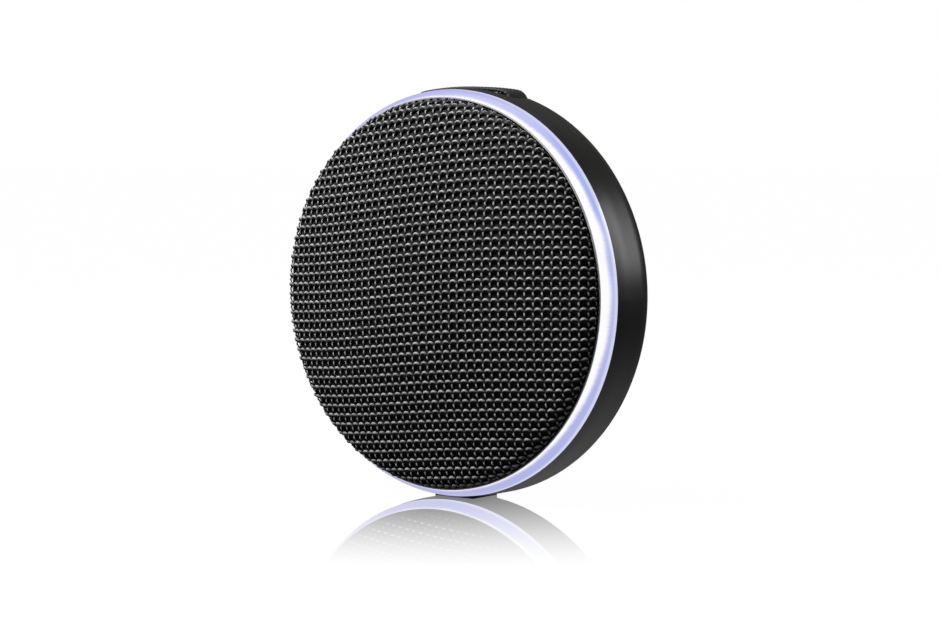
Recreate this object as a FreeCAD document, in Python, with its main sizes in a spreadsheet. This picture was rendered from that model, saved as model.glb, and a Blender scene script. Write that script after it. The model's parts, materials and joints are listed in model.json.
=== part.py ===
"""A round portable smart speaker that stands on its edge.

A woven dome faces the front (-Y), a light ring runs round it, and a rear housing holds the works, five
keys on its back, a strap sunk in its crown and a rubber foot. Lengths are in millimetres. The sheet
`sizes` holds the driving dimensions, and every sub-part is bound to it. Depths called y are measured
from the light ring's rear plane, positive to the rear, and x and z from the axis of the disc.
"""
import FreeCAD, Part
import math
import os

import Sketcher
from FreeCAD import Placement, Rotation, Vector

SIZES = [
    # overall shape
    ("disc_radius", 66.0, "outside radius of the rear housing"),
    ("rear_depth", 22.5, "light ring's rear plane to the back face"),
    ("ring_depth", 5.4, "light ring, front to back"),
    ("ring_width", 2.5, "light ring, inner edge to outer edge"),
    ("dome_height", 12.9, "cloth dome in front of the light ring"),
    ("dome_roll", 5.5, "radius that turns the dome into its rim"),
    ("rim_taper", 0.5, "housing's radius less the light ring's"),
    ("taper_depth", 6.5, "depth over which the housing swells"),
    ("wall", 2.2, "housing wall"),
    ("back_roll", 10.0, "radius between the side and the back"),
    # front stack
    ("cloth", 1.0, "grille cloth"),
    ("grille_wall", 1.5, "grille frame"),
    ("hole_radius", 3.1, "hole in the grille frame"),
    ("hole_pitch", 10.6, "radial step between rings of holes"),
    ("hole_rings", 5, "rings of holes"),
    ("rim_tuck", 3.4, "depth of the grille frame's rim behind the dome"),
    ("lip", 0.4, "thickness of the bezel lip"),
    ("lip_proud", 0.35, "bezel lip in front of the light ring"),
    ("slack", 0.05, "gap between pieces pressed together"),
    ("board_gap", 0.3, "light board to the baffle"),
    ("guide_outer", 0.7, "light ring's outer flange"),
    ("guide_inner", 0.4, "light ring's inner flange"),
    ("lamp_room", 0.3, "lamp to the light ring"),
    ("led_plate", 0.8, "thickness of the light board"),
    ("led_count", 24, "lamps round the ring"),
    ("led_side", 1.2, "side of a lamp"),
    ("led_height", 0.6, "lamp, off its board"),
    ("rim_wall", 0.55, "housing rim outside the light board"),
    ("ledge", 2.2, "thickness of the housing's front ledge"),
    ("baffle_inset", 3.5, "cloth edge to the baffle's edge"),
    ("baffle", 2.5, "thickness of the front baffle"),
    ("baffle_back", 3.0, "baffle's back face in front of the ring plane"),
    ("skirt", 1.8, "wall of the baffle's skirt"),
    ("seal", 0.6, "thickness of the main seal"),
    ("seal_inset", 0.2, "main seal, in from each side of the skirt"),
    ("ledge_gap", 0.2, "housing's front ledge to the baffle's skirt"),
    ("bedded", 0.4, "reach of a thick wall into the housing's wall"),
    ("post_radius", 3.0, "screw post in the housing"),
    ("post_count", 6, "screw posts"),
    ("post_gap", 0.4, "screw post to the baffle's skirt"),
    ("standoff", 2.2, "radius of a board's stand-off"),
    ("pilot", 1.1, "pilot hole and screw shank radius"),
    ("screw_reach", 7.0, "housing screw's tip behind the ring plane"),
    ("screw_gap", 0.2, "housing screw to its hole in the baffle"),
    ("thin_gap", 0.1, "any smaller screw to its hole"),
    ("lead_hole", 1.3, "radius of the light lead's way through the ledge"),
    ("lead_bearing", -72.0, "light lead, in degrees clockwise of the top"),
    ("mark_bearing", 39.0, "touch mark, in degrees clockwise of the top"),
    ("mark_half", 2.2, "half the touch mark, in degrees"),
    ("mark_proud", 0.15, "touch mark above the housing"),
    ("mark_sunk", 0.3, "touch mark inside the housing"),
    ("mark_length", 1.0, "touch mark, front to back"),
    ("mark_end", 0.3, "touch mark to the end of the straight side"),
    # loudspeaker
    ("driver_z", 20.0, "loudspeaker's axis above the disc's"),
    ("driver_opening", 23.8, "loudspeaker's opening in the baffle"),
    ("basket_radius", 28.0, "loudspeaker basket"),
    ("small_shank", 0.95, "shank radius of the loudspeaker's screws"),
    ("small_reach", 2.0, "reach of the loudspeaker's screws into the baffle"),
    ("small_inset", 1.6, "loudspeaker's screws, in from the basket's edge"),
    ("throat", 17.0, "basket's radius at the motor"),
    ("spider_shelf", 2.3, "spider's shelf in front of the motor"),
    ("land", 1.2, "surround's flat edge past the opening"),
    ("basket_plate", 1.2, "basket's flange"),
    ("gasket", 0.5, "loudspeaker gasket"),
    ("cone_radius", 18.9, "edge of the cone"),
    ("cone_depth", 7.4, "cone's edge to its neck"),
    ("coil_radius", 6.8, "outside of the voice coil"),
    ("coil_wall", 0.4, "voice coil and former"),
    ("coil_gap", 0.25, "voice coil to the magnet's iron"),
    ("magnet_radius", 20.0, "magnet"),
    ("magnet", 3.2, "thickness of the magnet"),
    ("iron", 2.0, "thickness of the top plate"),
    ("yoke", 1.5, "thickness of the yoke's back plate"),
    ("motor_front", 8.2, "front of the top plate behind the ring plane"),
    # passive radiator
    ("radiator_z", -31.0, "radiator's centre under the disc's"),
    ("radiator_half", 18.0, "half the straight side of the radiator"),
    ("radiator_radius", 12.0, "radiator's opening in the baffle"),
    ("radiator_plate", 8.7, "end radius of the moving plate"),
    # battery
    ("battery_width", 57.0, "battery, side to side"),
    ("battery_height", 30.0, "battery, bottom to top"),
    ("battery_depth", 8.0, "battery, front to back"),
    ("battery_front", 5.0, "battery's front behind the ring plane"),
    ("foam", 1.0, "pad behind the battery"),
    ("cradle", 1.2, "cradle wall"),
    # boards and sockets
    ("board", 1.2, "thickness of the main board"),
    ("board_front", 10.0, "main board's front behind the ring plane"),
    ("board_width", 33.0, "main board, side to side"),
    ("board_top", 23.0, "main board's top above the disc's axis"),
    ("board_bottom", -14.0, "main board's foot"),
    ("board_inset", 1.9, "main board's side to the sockets' face"),
    ("board_pilot", 5.0, "depth of the main board's pilot holes"),
    ("facet", 1.8, "depth of the flat cut for the sockets"),
    ("flat_front", 6.2, "socket flat in front of the main board's front"),
    ("flat_back", 2.4, "socket flat behind the main board's front"),
    ("flat_corner", 2.0, "corner of the socket flat"),
    ("port_back", 0.7, "sockets' thick wall past the straight side"),
    ("port_sunk", 0.5, "socket holes past the sockets' face"),
    ("mouth_gap", 0.25, "charging socket to its hole"),
    ("usb_width", 8.94, "charging socket, long side of its mouth"),
    ("usb_height", 3.26, "charging socket, short side of its mouth"),
    ("usb_length", 7.3, "charging socket, front to back"),
    ("usb_z", 9.0, "charging socket above the disc's axis"),
    ("jack_bore", 1.8, "radius of the audio socket's bore"),
    ("jack_side", 5.0, "audio socket body, off the board"),
    ("jack_length", 13.4, "audio socket body"),
    ("jack_z", -5.0, "audio socket's axis"),
    ("jack_nose", 1.5, "audio socket's nose past its body"),
    ("nose_wall", 1.0, "wall of the audio socket's nose"),
    ("nose_gap", 0.2, "nose to its hole"),
    # keys
    ("key_radius", 5.5, "round key"),
    ("key_gap", 0.3, "key to the hole in the back"),
    ("key_sunk", 0.3, "key below the back face"),
    ("key_circle", 42.0, "keys' centres from the disc's axis"),
    ("key_step", 20.0, "angle between keys"),
    ("key_plate", 1.0, "thickness of the key board"),
    ("key_room", 3.6, "key board's back face to the rear wall"),
    ("switch", 1.7, "height of a switch body"),
    ("switch_side", 6.0, "side of a switch body"),
    ("plunger", 1.2, "radius of a switch plunger"),
    ("key_screw_turn", 13.0, "last key to the key board's screw, in degrees"),
    ("key_plate_turn", 17.0, "last key to the key board's end, in degrees"),
    ("mic_hole", 0.6, "radius of the microphone's hole"),
    ("flex_width", 3.0, "key board's flat lead"),
    ("flex_edge", 0.2, "flat lead to the main board's edges"),
    ("flex_top", 33.0, "flat lead's top end above the disc's axis"),
    ("flex_bend", 28.6, "flat lead's bend above the disc's axis"),
    # strap and foot
    ("strap", 1.4, "thickness of the strap"),
    ("strap_width", 10.0, "width of the strap"),
    ("strap_front", 6.0, "strap's front edge behind the ring plane"),
    ("strap_leg", 20.0, "outer side of the strap's leg"),
    ("strap_crown", 116.0, "radius of the strap's top"),
    ("strap_bend", 5.0, "radius of the strap's shoulder"),
    ("strap_proud", 0.6, "strap above the housing"),
    ("recess", 4.0, "depth of the well under the strap"),
    ("well_end", 1.3, "strap's leg to the end of its well"),
    ("well_side", 0.8, "strap to the side of its well"),
    ("well_corner", 1.0, "corner of the well"),
    ("slot_inside", 0.4, "strap's leg to the inner side of its slot"),
    ("slot_gap", 0.1, "strap's leg to the other sides of its slot"),
    ("shelf", 2.8, "thick wall under the well"),
    ("shelf_end", 4.0, "thick wall past the strap's leg"),
    ("shelf_back", 1.6, "thick wall behind the strap"),
    ("strap_loop", 2.5, "loop round the strap's pin"),
    ("pin_end", 1.5, "pin past the side of the strap"),
    ("strap_pin", 1.0, "radius of the strap's pin"),
    ("foot_half", 8.0, "half the foot's length"),
    ("foot_front", 2.0, "foot's front edge behind the ring plane"),
    ("foot_width", 13.0, "foot, front to back"),
    ("foot_proud", 0.2, "foot below the housing"),
    ("foot_sunk", 1.1, "foot inside the housing"),
    ("foot_gap", 0.1, "foot to its bed"),
]

XY, XZ, YZ = "XY_Plane", "XZ_Plane", "YZ_Plane"
FULL_TURN = 360
KEYS = ["power", "pair", "volume_down", "volume_up", "light"]
KEYS_BESIDE = len(KEYS) // 2
FILE_LIMIT = 60
# a cut leaves a face by PAST, or by NEAR_PAST where another piece is near
PAST = 1
NEAR_PAST = 0.2
SLIVER = 1e-3
# a screw head's radius and height, for a shank of radius 1
HEAD_RADIUS, HEAD_HEIGHT = 1.9, 1.1
DRIVER_SCREWS = 4
HOLES_IN_RING = 6
# rounding of the charging socket's mouth, as a share of its half height
USB_ROUND = 0.9
# a lead's bend takes this share of its shorter run
BEND_SHARE = 0.45
# main board's screws: from its left side (0) or right (1), and from its foot (0) or top (1)
BOARD_SCREWS = [(0, 6.0, 0, 3.2), (0, 7.0, 1, -3.5), (1, -4.0, 0, 3.5), (1, -4.0, 1, -8.0)]
# chips: left, right, bottom and top from the board's outer edge, and height off the board
CHIPS = [
    ("processor", (18.5, 25.5, 8.5, 15.5), 1.0),
    ("amplifier", (10.5, 16.5, 7.5, 13.5), 1.2),
    ("radio_module", (17, 26, 16, 22), 2.2),
]

doc = FreeCAD.newDocument("smart_speaker")
sheet = doc.addObject("Spreadsheet::Sheet", "sizes")
for row, (alias, value, meaning) in enumerate(SIZES, start=1):
    sheet.set(f"A{row}", meaning)
    sheet.set(f"B{row}", str(value))
    sheet.setAlias(f"B{row}", alias)
doc.recompute()


class Size:
    """A length together with the sheet expression that gives it."""

    def __init__(self, value, text):
        self.value = value
        self.text = text

    def __add__(self, other):
        other = as_size(other)
        return Size(self.value + other.value, f"({self.text} + {other.text})")

    def __sub__(self, other):
        other = as_size(other)
        return Size(self.value - other.value, f"({self.text} - {other.text})")

    def __mul__(self, other):
        other = as_size(other)
        return Size(self.value * other.value, f"({self.text} * {other.text})")

    def __truediv__(self, other):
        other = as_size(other)
        return Size(self.value / other.value, f"({self.text} / {other.text})")

    def __radd__(self, other):
        return as_size(other) + self

    def __rsub__(self, other):
        return as_size(other) - self

    def __rmul__(self, other):
        return as_size(other) * self

    def __neg__(self):
        return 0 - self

    def root(self):
        return Size(math.sqrt(self.value), f"sqrt({self.text})")

    def sine(self):
        return Size(math.sin(math.radians(self.value)), f"sin({self.text})")

    def cosine(self):
        return Size(math.cos(math.radians(self.value)), f"cos({self.text})")


def as_size(thing):
    return thing if isinstance(thing, Size) else Size(float(thing), f"{float(thing):.6f}")


class Sheet:
    """Reads a driving dimension by its alias."""

    def __getattr__(self, alias):
        return Size(float(sheet.get(alias)), f"sizes.{alias}")


s = Sheet()

# ---- lines that several pieces share ----
place_y = (s.dome_height + s.ring_depth - s.rear_depth) / 2
place_z = s.disc_radius + s.foot_proud
ring_radius = s.disc_radius - s.rim_taper
ring_inner = ring_radius - s.ring_width
ring_front = -s.ring_depth
lip_outer = ring_inner - s.slack
cloth_edge = lip_outer - s.lip - s.slack
baffle_radius = cloth_edge - s.baffle_inset
baffle_back = -s.baffle_back
baffle_front = baffle_back - s.baffle
led_inner = baffle_radius + s.board_gap
led_outer = ring_radius - s.rim_wall - s.slack
ledge_front = s.led_plate
ledge_back = ledge_front + s.ledge
inner_radius = s.disc_radius - s.wall
rear_inner = s.rear_depth - s.wall
post_circle = baffle_radius - s.skirt - s.post_radius - s.post_gap
cone_front = baffle_back + s.gasket
board_back = s.board_front + s.board
socket_face = s.disc_radius - s.facet - s.wall - 2 * s.slack
board_left = -socket_face + s.board_inset
key_board_back = rear_inner - s.key_room
key_board_front = key_board_back - s.key_plate
battery_back = s.battery_front + s.battery_depth
strap_top = s.disc_radius + s.strap_proud


# ---- drawing helpers ----
def bind(thing, prop, size):
    thing.setExpression(prop, as_size(size).text)


def seat(part, x=0, y=0, z=0):
    """Place a part: x, y and z are measured from the centre of the light ring's rear plane."""
    bind(part, "Placement.Base.x", x)
    bind(part, "Placement.Base.y", place_y + y)
    bind(part, "Placement.Base.z", place_z + z)


subparts = []


def keep(part, label):
    part.Label = label
    subparts.append(part)
    return part


def new_body(label, x=0, y=0, z=0, kept=True):
    body = doc.addObject("PartDesign::Body", label)
    seat(body, x, y, z)
    if kept:
        keep(body, label)
    return body


def origin_feature(body, role):
    return next(f for f in body.Origin.OriginFeatures if f.Role == role)


def arc_centre(start, end, radius):
    """Centre of the short arc that turns left from start to end, or right where radius is negative."""
    chord = end - start
    reach = math.sqrt(max(radius * radius - chord.Length * chord.Length / 4, 0))
    left = Vector(-chord.y, chord.x, 0).normalize()
    return (start + end) / 2 + left * math.copysign(reach, radius)


def short_arc(start, end, radius):
    centre = arc_centre(start, end, radius)
    first, last = (start, end) if radius > 0 else (end, start)
    from_x = [math.atan2(p.y - centre.y, p.x - centre.x) for p in (first, last)]
    circle = Part.Circle(centre, Vector(0, 0, 1), abs(radius))
    return Part.ArcOfCircle(circle, *from_x)


class Pen:
    """Draws fully constrained outlines in a sketch, each corner bound to the sheet."""

    def __init__(self, body, role, at):
        self.sketch = body.newObject("Sketcher::SketchObject", f"{body.Name}_sketch")
        self.sketch.AttachmentSupport = [(origin_feature(body, role), "")]
        self.sketch.MapMode = "FlatFace"
        bind(self.sketch, "AttachmentOffset.Base.z", -as_size(at) if role == XZ else at)

    def fix(self, kind, where, size):
        size = as_size(size)
        index = self.sketch.addConstraint(Sketcher.Constraint(kind, *where, size.value))
        self.sketch.setExpression(f"Constraints[{index}]", size.text)

    def fix_point(self, edge, end, x, y):
        self.fix("DistanceX", (-1, 1, edge, end), x)
        self.fix("DistanceY", (-1, 1, edge, end), y)

    def circle(self, x, y, radius):
        middle = Vector(as_size(x).value, as_size(y).value, 0)
        shape = Part.Circle(middle, Vector(0, 0, 1), as_size(radius).value)
        edge = self.sketch.addGeometry(shape, False)
        self.fix("Radius", (edge,), radius)
        self.fix_point(edge, 3, x, y)

    def path(self, corners):
        """A closed outline: a corner is (x, y), or (x, y, radius) where an arc leads to it."""
        points = [Vector(as_size(c[0]).value, as_size(c[1]).value, 0) for c in corners]
        edges, ends = [], []
        for i, corner in enumerate(corners):
            start, end = points[i - 1], points[i]
            if len(corner) == 2:
                shape = Part.LineSegment(start, end)
            else:
                shape = short_arc(start, end, as_size(corner[2]).value)
            forward = len(corner) == 2 or as_size(corner[2]).value > 0
            edges.append(self.sketch.addGeometry(shape, False))
            ends.append((1, 2) if forward else (2, 1))
        for i, corner in enumerate(corners):
            after = (i + 1) % len(corners)
            joint = Sketcher.Constraint("Coincident", edges[i], ends[i][1], edges[after], ends[after][0])
            self.sketch.addConstraint(joint)
            self.fix_point(edges[i], ends[i][1], corner[0], corner[1])
            if len(corner) == 3:
                radius = as_size(corner[2])
                self.fix("Radius", (edges[i],), radius if radius.value > 0 else -radius)

    def draw(self, loops):
        for loop in loops:
            if isinstance(loop, tuple):
                self.circle(*loop)
            else:
                self.path(loop)
        return self.sketch


def rectangle(x0, x1, y0, y1):
    return [(x0, y0), (x1, y0), (x1, y1), (x0, y1)]


def rounded(x0, x1, y0, y1, r):
    """A rectangle with its corners rounded."""
    return [
        (x1 - r, y0), (x1, y0 + r, r), (x1, y1 - r), (x1 - r, y1, r),
        (x0 + r, y1), (x0, y1 - r, r), (x0, y0 + r), (x0 + r, y0, r),
    ]


def racetrack(half, r):
    """A slot shape on the origin: half its straight side, and the radius of its round ends."""
    half, r = as_size(half), as_size(r)
    return [(half, -r), (half + r, 0, r), (half, r, r), (-half, r), (-half - r, 0, r), (-half, -r, r)]


def sector(inner, outer, middle, half):
    """Part of a ring, from middle - half to middle + half degrees clockwise of the top."""
    inner, outer = as_size(inner), as_size(outer)
    before, after = as_size(middle) - half, as_size(middle) + half
    return [
        (outer * before.sine(), outer * before.cosine()),
        (outer * after.sine(), outer * after.cosine(), -outer),
        (inner * after.sine(), inner * after.cosine()),
        (inner * before.sine(), inner * before.cosine(), inner),
    ]


def pad(body, loops, start, end, role=XZ):
    """Add a slab between two depths along the plane's axis."""
    feature = body.newObject("PartDesign::Pad", f"{body.Name}_pad")
    feature.Profile = Pen(body, role, start).draw(loops)
    bind(feature, "Length", end - as_size(start))
    feature.Reversed = role == XZ
    return feature


def pocket(body, loops, start, end, role=XZ):
    """Cut between two depths along the plane's axis."""
    feature = body.newObject("PartDesign::Pocket", f"{body.Name}_pocket")
    feature.Profile = Pen(body, role, start).draw(loops)
    bind(feature, "Length", end - as_size(start))
    feature.Reversed = role != XZ
    return feature


def turn(body, profile):
    """Turn a (radius, depth) profile about the body's Y axis."""
    feature = body.newObject("PartDesign::Revolution", f"{body.Name}_turned")
    feature.Profile = Pen(body, XY, 0).draw([profile])
    feature.ReferenceAxis = (feature.Profile[0], ["V_Axis"])
    feature.Angle = FULL_TURN
    return feature


def around(body, features, count):
    """Repeat features evenly about the body's Y axis."""
    pattern = body.newObject("PartDesign::PolarPattern", f"{body.Name}_around")
    pattern.Originals = features
    pattern.Axis = (origin_feature(body, "Y_Axis"), [""])
    pattern.Angle = FULL_TURN
    bind(pattern, "Occurrences", count)
    body.Tip = pattern
    return pattern


def turned(label, profile, x=0, y=0, z=0):
    body = new_body(label, x, y, z)
    turn(body, profile)
    return body


def ring(label, inner, outer, start, end, x=0, z=0):
    return turned(label, rectangle(inner, outer, start, end), x=x, z=z)


def block(label, x0, x1, y0, y1, z0, z1, kept=True):
    box = doc.addObject("Part::Box", label)
    bind(box, "Length", x1 - as_size(x0))
    bind(box, "Width", y1 - as_size(y0))
    bind(box, "Height", z1 - as_size(z0))
    seat(box, x0, y0, z0)
    return keep(box, label) if kept else box


def rod(label, x, z, radius, y0, y1, kept=True):
    """A cylinder that lies front to back."""
    cylinder = doc.addObject("Part::Cylinder", label)
    bind(cylinder, "Radius", radius)
    bind(cylinder, "Height", y1 - as_size(y0))
    cylinder.Placement = Placement(Vector(), Rotation(Vector(1, 0, 0), -90))
    seat(cylinder, x, y0, z)
    return keep(cylinder, label) if kept else cylinder


def group(label, members):
    compound = doc.addObject("Part::Compound", label)
    compound.Links = members
    return keep(compound, label)


def lead(label, corners, radius):
    """A wire along straight runs, with a tangent arc at each corner."""
    points = [Vector(*(as_size(c).value for c in corner)) for corner in corners]
    edges, start = [], points[0]
    for before, here, after in zip(points, points[1:], points[2:]):
        run_in, run_out = here - before, after - here
        tangent = BEND_SHARE * min(run_in.Length, run_out.Length)
        arc_start = here - run_in.normalize() * tangent
        arc_end = here + run_out.normalize() * tangent
        swing = (arc_start + arc_end) / 2 - here
        half_angle = run_in.getAngle(run_out) / 2
        bend = tangent / math.tan(half_angle)
        arc_middle = here + swing.normalize() * (bend / math.cos(half_angle) - bend)
        edges.append(Part.LineSegment(start, arc_start).toShape())
        edges.append(Part.Arc(arc_start, arc_middle, arc_end).toShape())
        start = arc_end
    edges.append(Part.LineSegment(start, points[-1]).toShape())
    route = Part.Wire(edges)
    section = Part.Wire(Part.makeCircle(radius, points[0], points[1] - points[0]))
    part = doc.addObject("Part::Feature", label)
    part.Shape = route.makePipeShell([section], True, False)
    part.Placement = Placement(Vector(0, place_y.value, place_z.value), Rotation())
    print(label, "length", round(route.Length, 1), "mm")
    return keep(part, label)


# ---- grille: frame, cloth, bezel ----
def dome(offset):
    """Rim radius, tangent point and the two radii of the dome at a depth below the cloth's face."""
    roll_centre = cloth_edge - s.dome_roll
    rise = s.dome_height
    cap = (roll_centre * roll_centre + rise * rise - s.dome_roll * s.dome_roll) / (2 * (rise - s.dome_roll))
    roll = s.dome_roll - offset
    share = roll / (cap - s.dome_roll)
    return {
        "apex": (0, ring_front - rise + offset),
        "tangent": (roll_centre + roll_centre * share, ring_front - (cap - rise) * share),
        "rim": (cloth_edge - offset, ring_front),
        "cap": cap - offset,
        "roll": roll,
    }


def shell_profile(outer, inner, foot):
    """The dome between two offsets, with its foot outline from the outer rim to the inner rim."""
    return [
        outer["apex"],
        (*outer["tangent"], outer["cap"]),
        (*outer["rim"], outer["roll"]),
        *foot,
        inner["rim"],
        (*inner["tangent"], -inner["roll"]),
        (*inner["apex"], -inner["cap"]),
    ]


def make_grille():
    face, under, back = dome(0), dome(s.cloth), dome(s.cloth + s.grille_wall)
    rim_back = ring_front + s.rim_tuck
    hem_back = rim_back + s.cloth
    frame_inner = back["rim"][0]
    frame = turned("grille_frame", shell_profile(
        under, back, [(under["rim"][0], rim_back), (frame_inner, rim_back)]))
    through = (ring_front - s.dome_height, ring_front)
    frame.Tip = pocket(frame, [(0, 0, s.hole_radius)], *through)
    for k in range(1, int(s.hole_rings.value) + 1):
        hole = pocket(frame, [(0, s.hole_pitch * k, s.hole_radius)], *through)
        around(frame, [hole], HOLES_IN_RING * k)
    hem = [
        (cloth_edge, hem_back), (frame_inner, hem_back),
        (frame_inner, rim_back), (under["rim"][0], rim_back),
    ]
    turned("grille_cloth", shell_profile(face, under, hem))
    lip_inner, lip_front = lip_outer - s.lip, ring_front - s.lip_proud
    turned("trim_ring", [
        (frame_inner, 0), (lip_outer, 0), (lip_outer, lip_front), (lip_inner, lip_front),
        (lip_inner, hem_back), (frame_inner, hem_back),
    ])


# ---- light ring and its board ----
def make_light():
    bulge = (s.ring_width * s.ring_width + s.ring_depth * s.ring_depth) / (2 * s.ring_width)
    channel_outer = ring_radius - s.guide_outer
    channel_inner = ring_inner + s.guide_inner
    channel_front = -s.led_height - s.lamp_room
    turned("light_ring", [
        (ring_inner, 0), (ring_inner, ring_front), (ring_radius, 0, bulge), (channel_outer, 0),
        (channel_outer, channel_front), (channel_inner, channel_front), (channel_inner, 0),
    ])
    ring("led_board", led_inner, led_outer, 0, s.led_plate)
    leds = new_body("leds")
    middle = (channel_inner + channel_outer) / 2
    half = s.led_side / 2
    lamp = pad(leds, [rectangle(middle - half, middle + half, -half, half)], -s.led_height, 0)
    around(leds, [lamp], s.led_count)


# ---- rear housing ----
def key_places():
    """Each key's name and centre: they stand in an arc over the middle of the back."""
    for i, name in enumerate(KEYS):
        angle = s.key_step * (KEYS_BESIDE - i)
        yield name, s.key_circle * angle.sine(), s.key_circle * angle.cosine()


def key_board_ends():
    """Centres of the two screws that hold the key board."""
    angle = s.key_step * KEYS_BESIDE + s.key_screw_turn
    across, up = s.key_circle * angle.sine(), s.key_circle * angle.cosine()
    return [(-across, up), (across, up)]


def flex_sides():
    """Left and right side of the key board's flat lead."""
    right = board_left + s.board_width - s.flex_edge
    return right - s.flex_width, right


def board_corners():
    """Centres of the four screws that hold the main board."""
    tall = s.board_top - s.board_bottom
    return [(board_left + s.board_width * side + across, s.board_bottom + tall * end + up)
            for side, across, end, up in BOARD_SCREWS]


def usb_centre_y():
    return s.board_front - s.usb_height / 2


def jack_centre_y():
    return s.board_front - s.jack_side / 2


def foot_outline(gap):
    return rectangle(-s.foot_half - gap, s.foot_half + gap, s.foot_front - gap,
                     s.foot_front + s.foot_width + gap)


def strap_curve():
    """Tangent point and shoulder centre of the strap's outer face."""
    centre_x = s.strap_leg - s.strap_bend
    reach = s.strap_crown - s.strap_bend
    centre_z = strap_top - s.strap_crown + (reach * reach - centre_x * centre_x).root()
    scale = s.strap_crown / reach
    tangent_x = centre_x * scale
    tangent_z = strap_top - s.strap_crown + (centre_z - strap_top + s.strap_crown) * scale
    return tangent_x, tangent_z, centre_z


def strap_shelf_floor():
    """Underside of the thick wall that carries the strap."""
    return s.disc_radius - s.recess - s.shelf


def make_housing():
    swell = (s.rim_taper * s.rim_taper + s.taper_depth * s.taper_depth) / (2 * s.rim_taper)
    roll_start = s.rear_depth - s.back_roll
    inner_roll = s.back_roll - s.wall
    rim_inner = ring_radius - s.rim_wall
    ledge_inner = baffle_radius - s.skirt - s.ledge_gap
    into_wall = inner_radius + s.bedded
    housing = turned("rear_housing", [
        (rim_inner, 0), (ring_radius, 0),
        (s.disc_radius, s.taper_depth, swell), (s.disc_radius, roll_start),
        (s.disc_radius - s.back_roll, s.rear_depth, s.back_roll), (0, s.rear_depth), (0, rear_inner),
        (s.disc_radius - s.back_roll, rear_inner), (inner_radius, roll_start, -inner_roll),
        (inner_radius, ledge_back), (ledge_inner, ledge_back), (ledge_inner, ledge_front),
        (rim_inner, ledge_front),
    ])
    sunk = rear_inner + s.wall / 4
    # screw posts
    post = pad(housing, [(0, post_circle, s.post_radius)], baffle_back, sunk)
    around(housing, [post], s.post_count)
    pilot = pocket(housing, [(0, post_circle, s.pilot)], baffle_back, s.screw_reach)
    around(housing, [pilot], s.post_count)
    # stand-offs for the boards
    corners, ends = board_corners(), key_board_ends()
    pad(housing, [(x, z, s.standoff) for x, z in corners], board_back, sunk)
    pad(housing, [(x, z, s.standoff) for x, z in ends], key_board_back, sunk)
    pocket(housing, [(x, z, s.pilot) for x, z in corners], board_back, board_back + s.board_pilot)
    pocket(housing, [(x, z, s.pilot) for x, z in ends], key_board_back, rear_inner)
    # thick wall under the strap, and behind the sockets
    shelf_half = s.strap_leg + s.shelf_end
    shelf_side = (into_wall * into_wall - shelf_half * shelf_half).root()
    well_floor = s.disc_radius - s.recess
    shelf_floor = strap_shelf_floor()
    strap_back = s.strap_front + s.strap_width
    shelf = [
        (-shelf_half, shelf_floor), (shelf_half, shelf_floor),
        (shelf_half, shelf_side), (-shelf_half, shelf_side, into_wall),
    ]
    pad(housing, [shelf], ledge_back - PAST, strap_back + s.shelf_back)
    port_wall = s.disc_radius - s.facet - s.wall
    port_half = (into_wall * into_wall - port_wall * port_wall).root()
    pad(housing, [[(-port_wall, port_half), (-port_wall, -port_half, into_wall)]],
        ledge_back - PAST, roll_start + s.port_back)
    # well and slots for the strap
    well_half = s.strap_leg + s.well_end
    well = rounded(-well_half, well_half, s.strap_front - s.well_side, strap_back + s.well_side,
                   s.well_corner)
    pocket(housing, [well], well_floor, s.disc_radius + PAST, role=XY)
    for side in (-1, 1):
        near = (s.strap_leg - s.strap - s.slot_inside) * side
        far = (s.strap_leg + s.slot_gap) * side
        slot = rectangle(near, far, s.strap_front - s.slot_gap, strap_back + s.slot_gap)
        pocket(housing, [slot if side > 0 else slot[::-1]], shelf_floor - PAST, s.disc_radius, role=XY)
    # flat and holes for the sockets
    flat_x = s.disc_radius - s.facet
    flat_half = (s.disc_radius * s.disc_radius - flat_x * flat_x).root() + PAST
    outside, hole_floor = -s.disc_radius - PAST, -socket_face + s.port_sunk
    flat = rounded(s.board_front - s.flat_front, s.board_front + s.flat_back, -flat_half, flat_half,
                   s.flat_corner)
    pocket(housing, [flat], outside, -flat_x, role=YZ)
    half_y, half_z = s.usb_height / 2 + s.mouth_gap, s.usb_width / 2 + s.mouth_gap
    mouth = rounded(usb_centre_y() - half_y, usb_centre_y() + half_y, s.usb_z - half_z, s.usb_z + half_z,
                    half_y * USB_ROUND)
    pocket(housing, [mouth], outside, hole_floor, role=YZ)
    nose_hole = s.jack_bore + s.nose_wall + s.nose_gap
    pocket(housing, [(jack_centre_y(), s.jack_z, nose_hole)], outside, hole_floor, role=YZ)
    # key holes and the microphone's hole in the back
    cut = (sunk - PAST, s.rear_depth + PAST)
    pocket(housing, [(x, z, s.key_radius + s.key_gap) for _, x, z in key_places()], *cut)
    pocket(housing, [(*mic_place(), s.mic_hole)], *cut)
    # foot's bed
    pocket(housing, [foot_outline(s.foot_gap)], -s.disc_radius - PAST, s.foot_sunk - s.disc_radius, role=XY)
    # way through the ledge for the light board's lead
    pocket(housing, [(*light_lead_place(), s.lead_hole)], ledge_front - NEAR_PAST, ledge_back + NEAR_PAST)
    # raised mark on the side that finds the keys by touch
    mark = sector(s.disc_radius - s.mark_sunk, s.disc_radius + s.mark_proud, s.mark_bearing, s.mark_half)
    mark_back = roll_start - s.mark_end
    pad(housing, [mark], mark_back - s.mark_length, mark_back)


def mic_place():
    angle = s.key_step / 2
    return s.key_circle * angle.sine(), s.key_circle * angle.cosine()


def light_lead_place():
    """Where the lead leaves the back of the light board."""
    spot = led_inner + s.lead_hole
    return spot * s.lead_bearing.sine(), spot * s.lead_bearing.cosine()


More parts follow.
